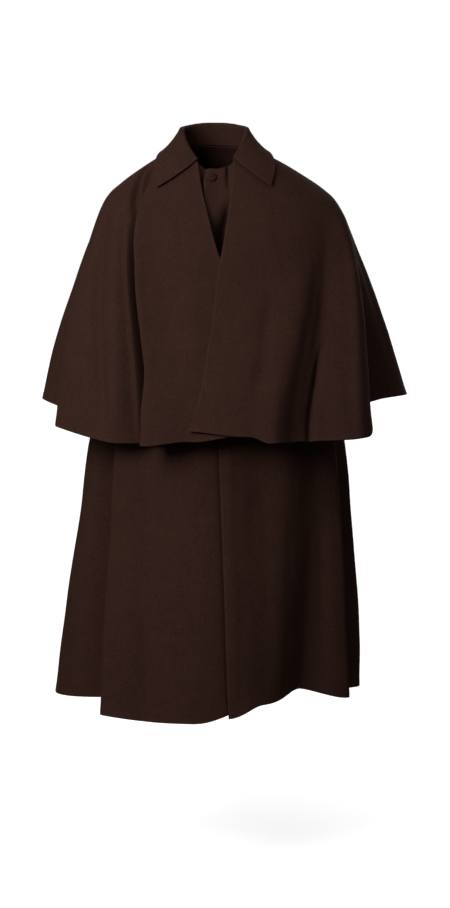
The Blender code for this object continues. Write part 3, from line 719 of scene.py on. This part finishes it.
def collar_points(cape, angle, stage):
    """The collar's middle: stage 0 is the neck seam, and 1 the edge that lies on the cape."""
    keys = [row.angle for row in COLLAR_ROWS]
    stand, edge_angle, edge_way, roll = (
        blend_rows(keys, [getattr(row, name) for row in COLLAR_ROWS], angle)
        for name in ("stand", "edge_angle", "edge_way", "roll")
    )
    a = np.radians(angle)
    forward = np.cos(a) > 0
    depth = np.where(forward, NECK_FRONT, NECK_BACK)
    rise = np.where(forward, -NECK_DIP, NECK_RISE)
    seam = np.stack(
        [NECK_SHIFT + NECK_WIDTH * np.sin(a), -depth * np.cos(a), rise * np.cos(a) ** 2], axis=-1
    )
    outward = unit(np.stack([np.sin(a) / NECK_WIDTH, -np.cos(a) / depth, 0 * a], axis=-1))
    up = np.array([0.0, 0.0, 1.0])
    lean = COLLAR_LEAN * stand / COLLAR_LEAN_HEIGHT
    top = seam + up * (stand - roll)[..., None] - outward * lean[..., None]
    turn = np.pi * np.clip((stage - STAND_SHARE) / (ROLL_SHARE - STAND_SHARE), 0, 1)
    over = roll[..., None] * (
        up * np.sin(turn)[..., None] + outward * (1 - np.cos(turn))[..., None]
    )
    rolled = top + over
    standing = between(seam, top, np.clip(stage / STAND_SHARE, 0, 1)[..., None])
    t = np.clip((stage - ROLL_SHARE) / (1 - ROLL_SHARE), 0, 1)[..., None]
    start = top + outward * 2 * roll[..., None]
    bend_angle = between(angle, edge_angle, FALL_BEND)
    bend = above(cape, bend_angle, edge_way * FALL_BEND, (COLLAR_REST + FALL_SWELL) + 0 * angle)
    edge = above(cape, edge_angle, edge_way, COLLAR_REST + 0 * angle)
    falling = between(between(start, bend, t), between(bend, edge, t), t)
    points = np.where((stage < STAND_SHARE)[..., None], standing, rolled)
    return np.where((stage > ROLL_SHARE)[..., None], falling, points)


def make_collar(cape):
    """The collar, from its left point round the back to its right point."""
    first, last = COLLAR_ROWS[0].angle, COLLAR_ROWS[-1].angle
    stages = np.linspace(0, 1, COLLAR_SAMPLES[1])

    def whole(angle, stage):
        return collar_points(cape, angle, stage)

    angles = np.linspace(first, last, COLLAR_SAMPLES[0])[:, None]
    run = along(whole(angles, np.array([COLLAR_STAGES])), 0).mean(axis=1)
    lines = np.array(SIDE_LINES)
    count = round((run[-1] - 2 * lines[-1]) / COLLAR_PITCH[0])
    even = np.linspace(lines[-1], run[-1] - lines[-1], count + 1)[1:-1]
    wanted = np.concatenate([lines, even, run[-1] - lines[::-1]])
    angles = np.interp(wanted, run, angles[:, 0])[:, None]
    dense = whole(*np.broadcast_arrays(angles, stages[None, :]))
    down = along(dense, 1)
    rows = []
    count = round(down[:, -1].mean() / COLLAR_PITCH[1])
    for column, lengths_down in zip(dense, down):
        inner = np.linspace(SEAM_LINES[-1], lengths_down[-1] - SIDE_LINES[-1], count + 1)[1:-1]
        at = np.concatenate([SEAM_LINES, inner, lengths_down[-1] - lines[::-1]])
        rows.append(np.stack([np.interp(at, lengths_down, column[:, k]) for k in range(3)], axis=-1))
    points = np.array(rows)
    stand_row = len(SEAM_LINES)
    hint = np.zeros(points.shape)
    outward = points[:, stand_row] - (NECK_SHIFT, 0, 0)
    hint[:, stand_row] = -outward * (1, 1, 0)
    return shell("collar_cloth", points, hint, COLLAR_EDGES, COLLAR_CLOTH, 0.5)


def line_at(values, distance, wanted, axis):
    """The row of a grid's values that lies at one distance, between the mesh's own lines."""
    if axis == 0:
        values, distance = np.swapaxes(values, 0, 1), distance.T
    found = []
    for column, far in zip(values, distance):
        order = slice(None) if far[-1] > far[0] else slice(None, None, -1)
        found.append([np.interp(wanted, far[order], column[order, k]) for k in range(3)])
    return np.array(found)


# Topstitching

def topstitching_tree():
    """Short threads along a line, square to the cloth, that lie a little unevenly."""
    tree = bpy.data.node_groups.new("topstitching", "GeometryNodeTree")
    tree.interface.new_socket("Line", in_out="INPUT", socket_type="NodeSocketGeometry")
    for name, kind, value in (
        ("Spacing", "NodeSocketFloat", STITCH_SPACING),
        ("Stitch Length", "NodeSocketFloat", STITCH_LENGTH),
        ("Thread Width", "NodeSocketFloat", THREAD_WIDTH),
        ("Unevenness", "NodeSocketFloat", THREAD_STRAY),
        ("Thread", "NodeSocketMaterial", None),
    ):
        socket = tree.interface.new_socket(name, in_out="INPUT", socket_type=kind)
        if value is not None:
            socket.default_value = value
    tree.interface.new_socket("Stitches", in_out="OUTPUT", socket_type="NodeSocketGeometry")

    def node(kind, **settings):
        made = tree.nodes.new(kind)
        for name, value in settings.items():
            setattr(made, name, value)
        return made

    given = node("NodeGroupInput")
    curve = node("GeometryNodeMeshToCurve")
    evened = node("GeometryNodeResampleCurve", mode="LENGTH")
    ball = node("GeometryNodeMeshUVSphere")
    fill(ball, {"Segments": THREAD_SEGMENTS, "Rings": THREAD_RINGS, "Radius": 0.5})
    thread = node("GeometryNodeTransform")
    size = node("ShaderNodeCombineXYZ")
    face = node("GeometryNodeInputNamedAttribute", data_type="FLOAT_VECTOR")
    fill(face, {"Name": "cloth_face"})
    tangent = node("GeometryNodeInputTangent")
    lie = node("FunctionNodeAxesToRotation", primary_axis="Z", secondary_axis="X")
    stray = node("FunctionNodeRandomValue", data_type="FLOAT_VECTOR")
    fill(stray, {"Seed": THREAD_SEED})
    opposite = node("ShaderNodeMath", operation="MULTIPLY")
    fill(opposite, {1: -1.0})
    turned = node("FunctionNodeRotateRotation", rotation_space="LOCAL")
    laid = node("GeometryNodeInstanceOnPoints")
    real = node("GeometryNodeRealizeInstances")
    smooth = node("GeometryNodeSetShadeSmooth")
    finish = node("GeometryNodeSetMaterial")
    out = node("NodeGroupOutput")
    for source, output, target, entry in (
        (given, "Line", curve, "Mesh"),
        (curve, "Curve", evened, "Curve"),
        (given, "Spacing", evened, "Length"),
        (given, "Stitch Length", size, "X"),
        (given, "Thread Width", size, "Y"),
        (given, "Thread Width", size, "Z"),
        (ball, "Mesh", thread, "Geometry"),
        (size, "Vector", thread, "Scale"),
        (face, "Attribute", lie, "Primary Axis"),
        (tangent, "Tangent", lie, "Secondary Axis"),
        (given, "Unevenness", opposite, 0),
        (opposite, "Value", stray, "Min"),
        (given, "Unevenness", stray, "Max"),
        (lie, "Rotation", turned, "Rotation"),
        (stray, "Value", turned, "Rotate By"),
        (evened, "Curve", laid, "Points"),
        (thread, "Geometry", laid, "Instance"),
        (turned, "Rotation", laid, "Rotation"),
        (laid, "Instances", real, "Geometry"),
        (real, "Geometry", smooth, "Geometry"),
        (smooth, "Geometry", finish, "Geometry"),
        (given, "Thread", finish, "Material"),
        (finish, "Geometry", out, "Stitches"),
    ):
        tree.links.new(source.outputs[output], target.inputs[entry])
    return tree


def stitch_lines(made, edges):
    """Where the topstitching of a piece's turned-in edges runs, and how the cloth faces there."""
    _, outer, normals, distances, _ = made
    first, last, top, hem = distances
    lines = []
    for side, edge in enumerate(edges):
        if not edge.stitch:
            continue
        axis = 0 if side < 2 else 1
        path = line_at(outer, distances[side], edge.stitch, axis)
        facing = unit(line_at(normals, distances[side], edge.stitch, axis))
        if axis == 0:
            column = 0 if side == 0 else -1
            kept = (hem[column] > edges[3].stitch) & (top[column] > STITCH_START)
        else:
            kept = (first[:, -1] > edges[0].stitch) & (last[:, -1] > edges[1].stitch)
        lines.append((path[kept] - facing[kept] * STITCH_BED, facing[kept]))
    return lines


def make_topstitching(name, lines, tree, thread):
    """The threads of one piece's topstitching, as one plain mesh."""
    points = np.concatenate([path for path, _ in lines])
    facing = np.concatenate([face for _, face in lines])
    edges, start = [], 0
    for path, _ in lines:
        edges += [(k, k + 1) for k in range(start, start + len(path) - 1)]
        start += len(path)
    mesh = bpy.data.meshes.new(name + "_line")
    mesh.from_pydata(points.tolist(), edges, [])
    faces = mesh.attributes.new("cloth_face", "FLOAT_VECTOR", "POINT")
    faces.data.foreach_set("vector", facing.ravel())
    line = new_object(name + "_line", mesh)
    modifier = line.modifiers.new("topstitching", "NODES")
    modifier.node_group = tree
    for item in tree.interface.items_tree:
        if item.name == "Thread":
            modifier[item.identifier] = thread
    bpy.context.view_layer.update()
    evaluated = line.evaluated_get(bpy.context.evaluated_depsgraph_get())
    plain = bpy.data.meshes.new_from_object(evaluated)
    plain.name = name
    bpy.data.objects.remove(line)
    return new_object(name, plain)


# The covered button

# Share of the radius and of the height along the button's outline, from its middle to its back
BUTTON_OUTLINE = (
    (0.0, 1.00), (0.12, 0.998), (0.26, 0.985), (0.40, 0.96), (0.53, 0.92), (0.65, 0.86),
    (0.75, 0.79), (0.84, 0.69), (0.91, 0.58), (0.96, 0.46), (0.99, 0.34), (1.00, 0.24),
    (0.985, 0.14), (0.94, 0.06), (0.86, 0.01), (0.70, 0.0), (0.45, 0.02), (0.22, 0.03),
)
BUTTON_SPOKES = 96
BUTTON_PUCKERS = 17
BUTTON_PUCKER_DEPTH = 0.00022
BUTTON_RIM_HEIGHT = 0.3
BUTTON_BACK_HEIGHT = 0.03
BUTTON_GAP = 0.0004


def button_place(body):
    """The point of the left front under the button's middle, and the direction it faces."""
    low, high = (np.array(corner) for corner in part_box("neck_button"))
    wanted = (low + high) / 2
    searched = (np.linspace(*ends, BUTTON_SAMPLES) for ends in (BUTTON_PLACES, BUTTON_WAYS))
    place, way = np.meshgrid(*searched, indexing="ij")
    points, ring, facing = body.surface(place, way, (0, BODY_SEAMS[0]))
    points = points + facing * dip_heights(FRONT_DIPS, ring)[..., None]
    off = lengths((points - wanted)[..., (0, 2)])
    i, j = np.unravel_index(off.argmin(), off.shape)
    here = points[i, j]
    face = unit(np.cross(points[i, j + 1] - here, points[i + 1, j] - here)[None])[0]
    return here, face if face[1] < 0 else -face


def make_button(body, material):
    """A button mould covered in the coat's wool, drawn into small puckers round its rim."""
    here, face = button_place(body)
    turn = Vector(face).to_track_quat("Z", "Y").to_matrix()
    spokes = np.arange(BUTTON_SPOKES) * 2 * np.pi / BUTTON_SPOKES
    ripple = np.cos(BUTTON_PUCKERS * spokes + 0.7 * np.sin(2 * spokes))
    rows = []
    for share, height in BUTTON_OUTLINE:
        behind = height <= BUTTON_RIM_HEIGHT
        pucker = ripple * np.sin(np.pi * min(share, 0.99)) ** 2
        pucker = pucker * BUTTON_PUCKER_DEPTH * (2 if behind else 1)
        radius = share * BUTTON_RADIUS + behind * pucker * 0.5
        rise = height * BUTTON_HEIGHT + pucker
        rows.append(np.stack([radius * np.cos(spokes), radius * np.sin(spokes), rise], axis=-1))
    rings = np.array(rows[1:])
    count = len(rings) * BUTTON_SPOKES
    numbers = np.arange(count).reshape(len(rings), BUTTON_SPOKES)
    closed = np.concatenate([numbers, numbers[:, :1]], axis=1)
    first, last = closed[0], closed[-1]
    caps = [(count, first[k], first[k + 1]) for k in range(BUTTON_SPOKES)]
    caps += [(count + 1, last[k + 1], last[k]) for k in range(BUTTON_SPOKES)]
    poles = [(0, 0, BUTTON_HEIGHT), (0, 0, BUTTON_BACK_HEIGHT * BUTTON_HEIGHT)]
    points = np.concatenate([rings.reshape(-1, 3), poles])
    points = points @ np.array(turn).T + here + face * (CLOTH / 2 + BUTTON_GAP)
    mesh = bpy.data.meshes.new("covered_button")
    faces = [tuple(int(n) for n in corners) for corners in (*quads_of(closed), *caps)]
    mesh.from_pydata(points.tolist(), [], faces)
    mesh.materials.append(material)
    mesh.shade_smooth()
    return new_object("covered_button", mesh)


# Finishes

# The nap's darker and lighter tone, its heather, its light fibres and the lighter, redder edges, which
# paint worn nap and a painted sheen highlight there, and how strongly the weave, the relief and the
# sheen show
Finish = namedtuple("Finish", "dark light heather fibre rubbed weave bump sheen")
COAT_WOOL = Finish(
    (0.020, 0.0084, 0.0066), (0.042, 0.0180, 0.0138), (0.030, 0.0165, 0.0095),
    (0.078, 0.040, 0.030), (0.080, 0.035, 0.026), weave=0.25, bump=0.35, sheen=0.035,
)
BUTTON_WOOL = Finish(
    (0.019, 0.0080, 0.0063), (0.038, 0.0165, 0.0125), (0.028, 0.0155, 0.0090),
    (0.075, 0.038, 0.028), (0.080, 0.035, 0.026), weave=0.0, bump=0.40, sheen=0.04,
)
THREAD = Finish(
    (0.022, 0.0092, 0.0070), (0.036, 0.0150, 0.0115), (0.028, 0.0130, 0.0095),
    (0.055, 0.026, 0.020), (0.055, 0.026, 0.018), weave=0.0, bump=0.15, sheen=0.03,
)
RIBS_PER_METRE = 700.0
FULLING = 0.6
FIBRE_SCALE = 900.0
LIGHT_FIBRES = 0.35
HEATHER_SHARE = 0.45
# How strongly the edges are painted lighter, for worn nap and a painted sheen highlight
EDGE_WEAR_AND_HIGHLIGHT = 0.30
ROUGHNESS = 0.86
ROUGHNESS_SPREAD = 0.12
RELIEF_DEPTH = 0.0006
SHEEN_TINT = (0.80, 0.40, 0.29, 1.0)
WHITE = (1.0, 1.0, 1.0, 1.0)


def socket_math(tree, operation, first, second=None, third=None, clamp=False):
    """A maths node in a tree, fed by sockets or plain numbers."""
    node = tree.nodes.new("ShaderNodeMath")
    node.operation = operation
    node.use_clamp = clamp
    for number, value in enumerate((first, second, third)):
        if value is None:
            continue
        if isinstance(value, (int, float)):
            node.inputs[number].default_value = value
        else:
            tree.links.new(value, node.inputs[number])
    return node.outputs[0]


def vector_math(tree, operation, vector, constant):
    node = tree.nodes.new("ShaderNodeVectorMath")
    node.operation = operation
    node.inputs[1].default_value = constant
    tree.links.new(vector, node.inputs[0])
    return node.outputs[0]


def noise_at(tree, vector, scale, detail=2.0, roughness=0.5):
    """Noise over a vector. Its scale is a plain number or a socket."""
    node = tree.nodes.new("ShaderNodeTexNoise")
    fill(node, {"Detail": detail, "Roughness": roughness})
    if isinstance(scale, float):
        fill(node, {"Scale": scale})
    else:
        tree.links.new(scale, node.inputs["Scale"])
    tree.links.new(vector, node.inputs["Vector"])
    return node.outputs["Fac"]


def new_group(name, inputs, outputs):
    """A shader group with these inputs and outputs. An input with no value is a vector."""
    tree = bpy.data.node_groups.new(name, "ShaderNodeTree")
    for entry, value in inputs.items():
        kind = "NodeSocketVector" if value is None else "NodeSocketFloat"
        socket = tree.interface.new_socket(entry, in_out="INPUT", socket_type=kind)
        if value is not None:
            socket.default_value = value
    for result in outputs:
        tree.interface.new_socket(result, in_out="OUTPUT", socket_type="NodeSocketFloat")
    given = tree.nodes.new("NodeGroupInput").outputs
    out = tree.nodes.new("NodeGroupOutput").inputs
    return tree, given, out, partial(socket_math, tree), partial(noise_at, tree)


def wool_weave_group():
    """The twill under the nap, from the cloth's own cut: its height, faint where it is fulled."""
    inputs = {"Cut": None, "Ribs per Metre": RIBS_PER_METRE, "Fulling": FULLING}
    tree, given, out, calc, noise_on = new_group("wool weave", inputs, ["Height"])
    split = tree.nodes.new("ShaderNodeSeparateXYZ")
    tree.links.new(given["Cut"], split.inputs[0])
    u, v = split.outputs[0], split.outputs[1]
    turns = calc("MULTIPLY", given["Ribs per Metre"], 2 * math.pi)
    rib = calc("SINE", calc("MULTIPLY", calc("ADD", u, v), turns))
    cross = calc("SINE", calc("MULTIPLY", calc("SUBTRACT", v, u), turns))
    both = calc("ADD", rib, calc("MULTIPLY", cross, 0.4))
    fulled = calc("MULTIPLY", noise_on(given["Cut"], 90.0), given["Fulling"])
    shown = calc("SUBTRACT", 1.0, fulled, clamp=True)
    height = calc("MULTIPLY_ADD", calc("MULTIPLY", both, shown), 0.35, 0.5)
    tree.links.new(height, out["Height"])
    return tree


def brushed_nap_group():
    """The raised fibres of melton wool: their height, the lighter ones, and how even the nap is."""
    inputs = {"Place": None, "Fibre Scale": FIBRE_SCALE, "Light Fibres": LIGHT_FIBRES}
    outputs = ["Height", "Fibres", "Evenness", "Heather"]
    tree, given, out, calc, noise_on = new_group("brushed nap", inputs, outputs)
    place = given["Place"]
    combed = vector_math(tree, "MULTIPLY", place, (1.0, 1.0, 0.45))
    shifted = vector_math(tree, "ADD", place, (3.7, 1.9, 5.3))
    fine = noise_on(combed, given["Fibre Scale"], 3.0, 0.65)
    coarse = noise_on(place, 330.0, 3.0, 0.6)
    height = calc("ADD", calc("MULTIPLY", fine, 0.6), calc("MULTIPLY", coarse, 0.4))
    light = noise_on(combed, 640.0, 2.0, 0.7)
    picked = calc("MULTIPLY", calc("SUBTRACT", light, 0.58), 7.0, clamp=True)
    broad = noise_on(place, 26.0, 3.0, 0.55)
    small = noise_on(place, 190.0, 3.0, 0.7)
    even = calc("ADD", calc("MULTIPLY", broad, 0.5), calc("MULTIPLY", small, 1.5))
    hue = noise_on(shifted, 150.0, 3.0, 0.7)
    for result, socket in (
        ("Height", height),
        ("Fibres", calc("MULTIPLY", picked, given["Light Fibres"])),
        ("Evenness", calc("SUBTRACT", even, 0.5, clamp=True)),
        ("Heather", calc("MULTIPLY", calc("SUBTRACT", hue, 0.40), 4.0, clamp=True)),
    ):
        tree.links.new(socket, out[result])
    return tree


def cloth_wear_and_highlight_group():
    """Where the made-up edges are painted lighter, in patches: worn nap and a painted sheen highlight.
    """
    inputs = {"Edge": 0.0, "Place": None, "Amount": 0.5}
    tree, given, out, calc, noise_on = new_group("cloth wear and highlight", inputs, ["Mask"])
    patchy = noise_on(given["Place"], 60.0, 3.0, 0.6)
    spots = calc("MULTIPLY", calc("SUBTRACT", patchy, 0.30), 2.2, clamp=True)
    rubbed = calc("MULTIPLY", spots, given["Edge"])
    tree.links.new(calc("MULTIPLY", rubbed, given["Amount"], clamp=True), out["Mask"])
    return tree


def mixed(tree, factor, first, second):
    """A colour between two, each a socket or a plain colour."""
    node = tree.nodes.new("ShaderNodeMix")
    node.data_type = "RGBA"
    tree.links.new(factor, node.inputs[0])
    for number, value in ((6, first), (7, second)):
        if isinstance(value, tuple):
            node.inputs[number].default_value = (*value, 1.0)
        else:
            tree.links.new(value, node.inputs[number])
    return node.outputs[2]


def wool_material(name, groups, finish):
    """Melton wool in a fabric's own colours."""
    material = bpy.data.materials.new(name)
    material.use_nodes = True
    tree = material.node_tree
    shader = tree.nodes["Principled BSDF"]
    place = tree.nodes.new("ShaderNodeTexCoord").outputs["Object"]
    placed = {}
    for key, group in groups.items():
        placed[key] = tree.nodes.new("ShaderNodeGroup")
        placed[key].node_tree = group
    nap, wear_and_highlight = placed["nap"], placed["wear_and_highlight"]
    tree.links.new(place, nap.inputs["Place"])
    tree.links.new(place, wear_and_highlight.inputs["Place"])
    edge = tree.nodes.new("ShaderNodeAttribute")
    edge.attribute_name = "edge_wear_and_highlight"
    tree.links.new(edge.outputs["Fac"], wear_and_highlight.inputs["Edge"])
    fill(wear_and_highlight, {"Amount": EDGE_WEAR_AND_HIGHLIGHT})
    colour = mixed(tree, nap.outputs["Evenness"], finish.dark, finish.light)
    mottled = socket_math(tree, "MULTIPLY", nap.outputs["Heather"], HEATHER_SHARE)
    colour = mixed(tree, mottled, colour, finish.heather)
    colour = mixed(tree, nap.outputs["Fibres"], colour, finish.fibre)
    # The edges painted lighter and redder: worn nap and a painted sheen highlight
    colour = mixed(tree, wear_and_highlight.outputs["Mask"], colour, finish.rubbed)
    tree.links.new(colour, shader.inputs["Base Color"])
    rough = socket_math(tree, "MULTIPLY_ADD", nap.outputs["Evenness"], ROUGHNESS_SPREAD, ROUGHNESS)
    tree.links.new(rough, shader.inputs["Roughness"])
    height = nap.outputs["Height"]
    if finish.weave:
        cut = tree.nodes.new("ShaderNodeUVMap")
        cut.uv_map = "cut"
        tree.links.new(cut.outputs["UV"], placed["weave"].inputs["Cut"])
        ribs = socket_math(tree, "MULTIPLY", placed["weave"].outputs["Height"], finish.weave)
        height = socket_math(tree, "ADD", ribs, height)
    relief = tree.nodes.new("ShaderNodeBump")
    fill(relief, {"Strength": finish.bump, "Distance": RELIEF_DEPTH})
    tree.links.new(height, relief.inputs["Height"])
    tree.links.new(relief.outputs["Normal"], shader.inputs["Normal"])
    fill(shader, {
        "Specular IOR Level": 0.03,
        "Sheen Weight": finish.sheen,
        "Sheen Roughness": 0.30,
        "Sheen Tint": SHEEN_TINT,
    })
    return material


# The studio

FLOOR_HEIGHT = -1.54
FLOOR_REACH = 60.0
CHEST_HEIGHT = -0.30
WORLD_SEEN = 1.0
WORLD_LIT = 0.08
LENS = 79.7
SENSOR_WIDTH = 36.0
CAMERA_PLACE = (0.0107, -4.3, -0.29)
CAMERA_AIM = (0.0107, 0.0, -0.65)

# Power, size, distance, azimuth and elevation of the near light
KEY_LIGHT = (41, 1.2, 2.1, -33, 18)
# Strength, softness, azimuth and elevation of each far light
SUNS = (
    ("side light", 0.24, 40, 72, 30),
    ("edge light", 0.36, 30, -88, 18),
    ("top light", 0.7, 40, -10, 72),
    ("back light", 2.0, 50, 165, 30),
)


def make_floor():
    """A pale floor, which throws no light back up on the dark wool."""
    mesh = bpy.data.meshes.new("studio_floor")
    sides = ((-1, -1), (1, -1), (1, 1), (-1, 1))
    corners = [(x * FLOOR_REACH, y * FLOOR_REACH, FLOOR_HEIGHT) for x, y in sides]
    mesh.from_pydata(corners, [], [(0, 1, 2, 3)])
    floor = new_object("studio_floor", mesh)
    material = bpy.data.materials.new("studio_floor")
    material.use_nodes = True
    fill(material.node_tree.nodes["Principled BSDF"], {
        "Base Color": (0.90, 0.90, 0.90, 1.0),
        "Roughness": 0.9,
        "Specular IOR Level": 0.1,
        "Emission Color": WHITE,
        "Emission Strength": 0.45,
    })
    mesh.materials.append(material)
    floor.visible_diffuse = False
    floor.visible_glossy = False


def make_light(name, kind, power, azimuth, elevation):
    """A lamp turned to the coat. Azimuth 0 shines from the front, 90 from the coat's own left."""
    light = bpy.data.lights.new(name, kind)
    light.energy = power
    lamp = new_object(name, light)
    a, e = math.radians(azimuth), math.radians(elevation)
    towards = Vector((math.sin(a) * math.cos(e), -math.cos(a) * math.cos(e), math.sin(e)))
    lamp.rotation_euler = towards.to_track_quat("Z", "Y").to_euler()
    return light, lamp, towards


def make_sun(name, strength, softness, azimuth, elevation):
    """A soft far light."""
    light, _, _ = make_light(name, "SUN", strength, azimuth, elevation)
    light.angle = math.radians(softness)


def make_softbox(name, power, size, distance, azimuth, elevation):
    """A soft near light, this far from the coat's chest, which fades down the coat."""
    light, lamp, towards = make_light(name, "AREA", power, azimuth, elevation)
    light.shape = "DISK"
    light.size = size
    lamp.location = Vector((0.0, 0.0, CHEST_HEIGHT)) + towards * distance
    lamp.visible_camera = False


def make_world(seen, lit):
    """White behind the object, and a softer light from it."""
    world = bpy.data.worlds.new("studio")
    world.use_nodes = True
    tree = world.node_tree
    shade = tree.nodes["Background"]
    fill(shade, {"Color": WHITE})
    ray = tree.nodes.new("ShaderNodeLightPath").outputs["Is Camera Ray"]
    tree.links.new(socket_math(tree, "MULTIPLY_ADD", ray, seen - lit, lit), shade.inputs["Strength"])
    bpy.context.scene.world = world


def make_camera():
    lens = bpy.data.cameras.new("camera")
    lens.lens = LENS
    lens.sensor_width = SENSOR_WIDTH
    camera = new_object("camera", lens)
    camera.location = CAMERA_PLACE
    aim = Vector(CAMERA_AIM) - camera.location
    camera.rotation_euler = aim.to_track_quat("-Z", "Y").to_euler()
    bpy.context.scene.camera = camera


# The garment

def make_pieces(cape, body):
    """Every cloth piece of the coat by its CAD node, with the edges it was made up with."""
    made = {}
    for layer, cloth, seams, soft, pitches in (
        ("cape", cape, CAPE_SEAMS, CAPE_SOFT, (CAPE_PITCH, CAPE_PITCH, CAPE_FOLD_PITCH)),
        ("body", body, BODY_SEAMS, BODY_SOFT, (BODY_PITCH, BODY_PITCH, BODY_PITCH)),
    ):
        left, right = seams
        for part, panel, pitch, edges, grain in (
            ("front_left", (0, left), pitches[0], LEFT_EDGES, 0.0),
            ("back", (left, right), pitches[1], BACK_EDGES, 0.5),
            ("front_right", (right, cloth.last), pitches[2], RIGHT_EDGES, 1.0),
        ):
            node = layer + "_" + part
            made[node] = (make_panel(cloth, node + "_cloth", panel, soft, pitch, edges, grain), edges)
    made["collar"] = (make_collar(cape), COLLAR_EDGES)
    return made


def main():
    groups = {"weave": wool_weave_group(), "nap": brushed_nap_group(), "wear_and_highlight": cloth_wear_and_highlight_group()}
    wool = wool_material("brown_wool", groups, COAT_WOOL)
    button_wool = wool_material("button_wool", groups, BUTTON_WOOL)
    thread = wool_material("buttonhole_thread", groups, THREAD)
    cape = Cloth(CAPE_SECTIONS, CAPE_FOLDS, armholes=False)
    body = Cloth(BODY_SECTIONS, BODY_FOLDS, armholes=True)
    made = make_pieces(cape, body)
    tree = topstitching_tree()
    for node, (shell_made, edges) in made.items():
        piece, _, _, _, (flat, area) = shell_made
        piece.data.materials.append(wool)
        sewn = make_topstitching(node + "_topstitching", stitch_lines(shell_made, edges), tree, thread)
        for each in (piece, sewn):
            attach(each, "root")
        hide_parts(node)
    button = make_button(body, button_wool)
    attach(button, "root")
    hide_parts("neck_button")

    make_floor()
    make_world(WORLD_SEEN, WORLD_LIT)
    make_softbox("key light", *KEY_LIGHT)
    for sun in SUNS:
        make_sun(*sun)
    make_camera()
    bpy.context.scene.view_settings.view_transform = "Standard"
    bpy.context.view_layer.update()


main()
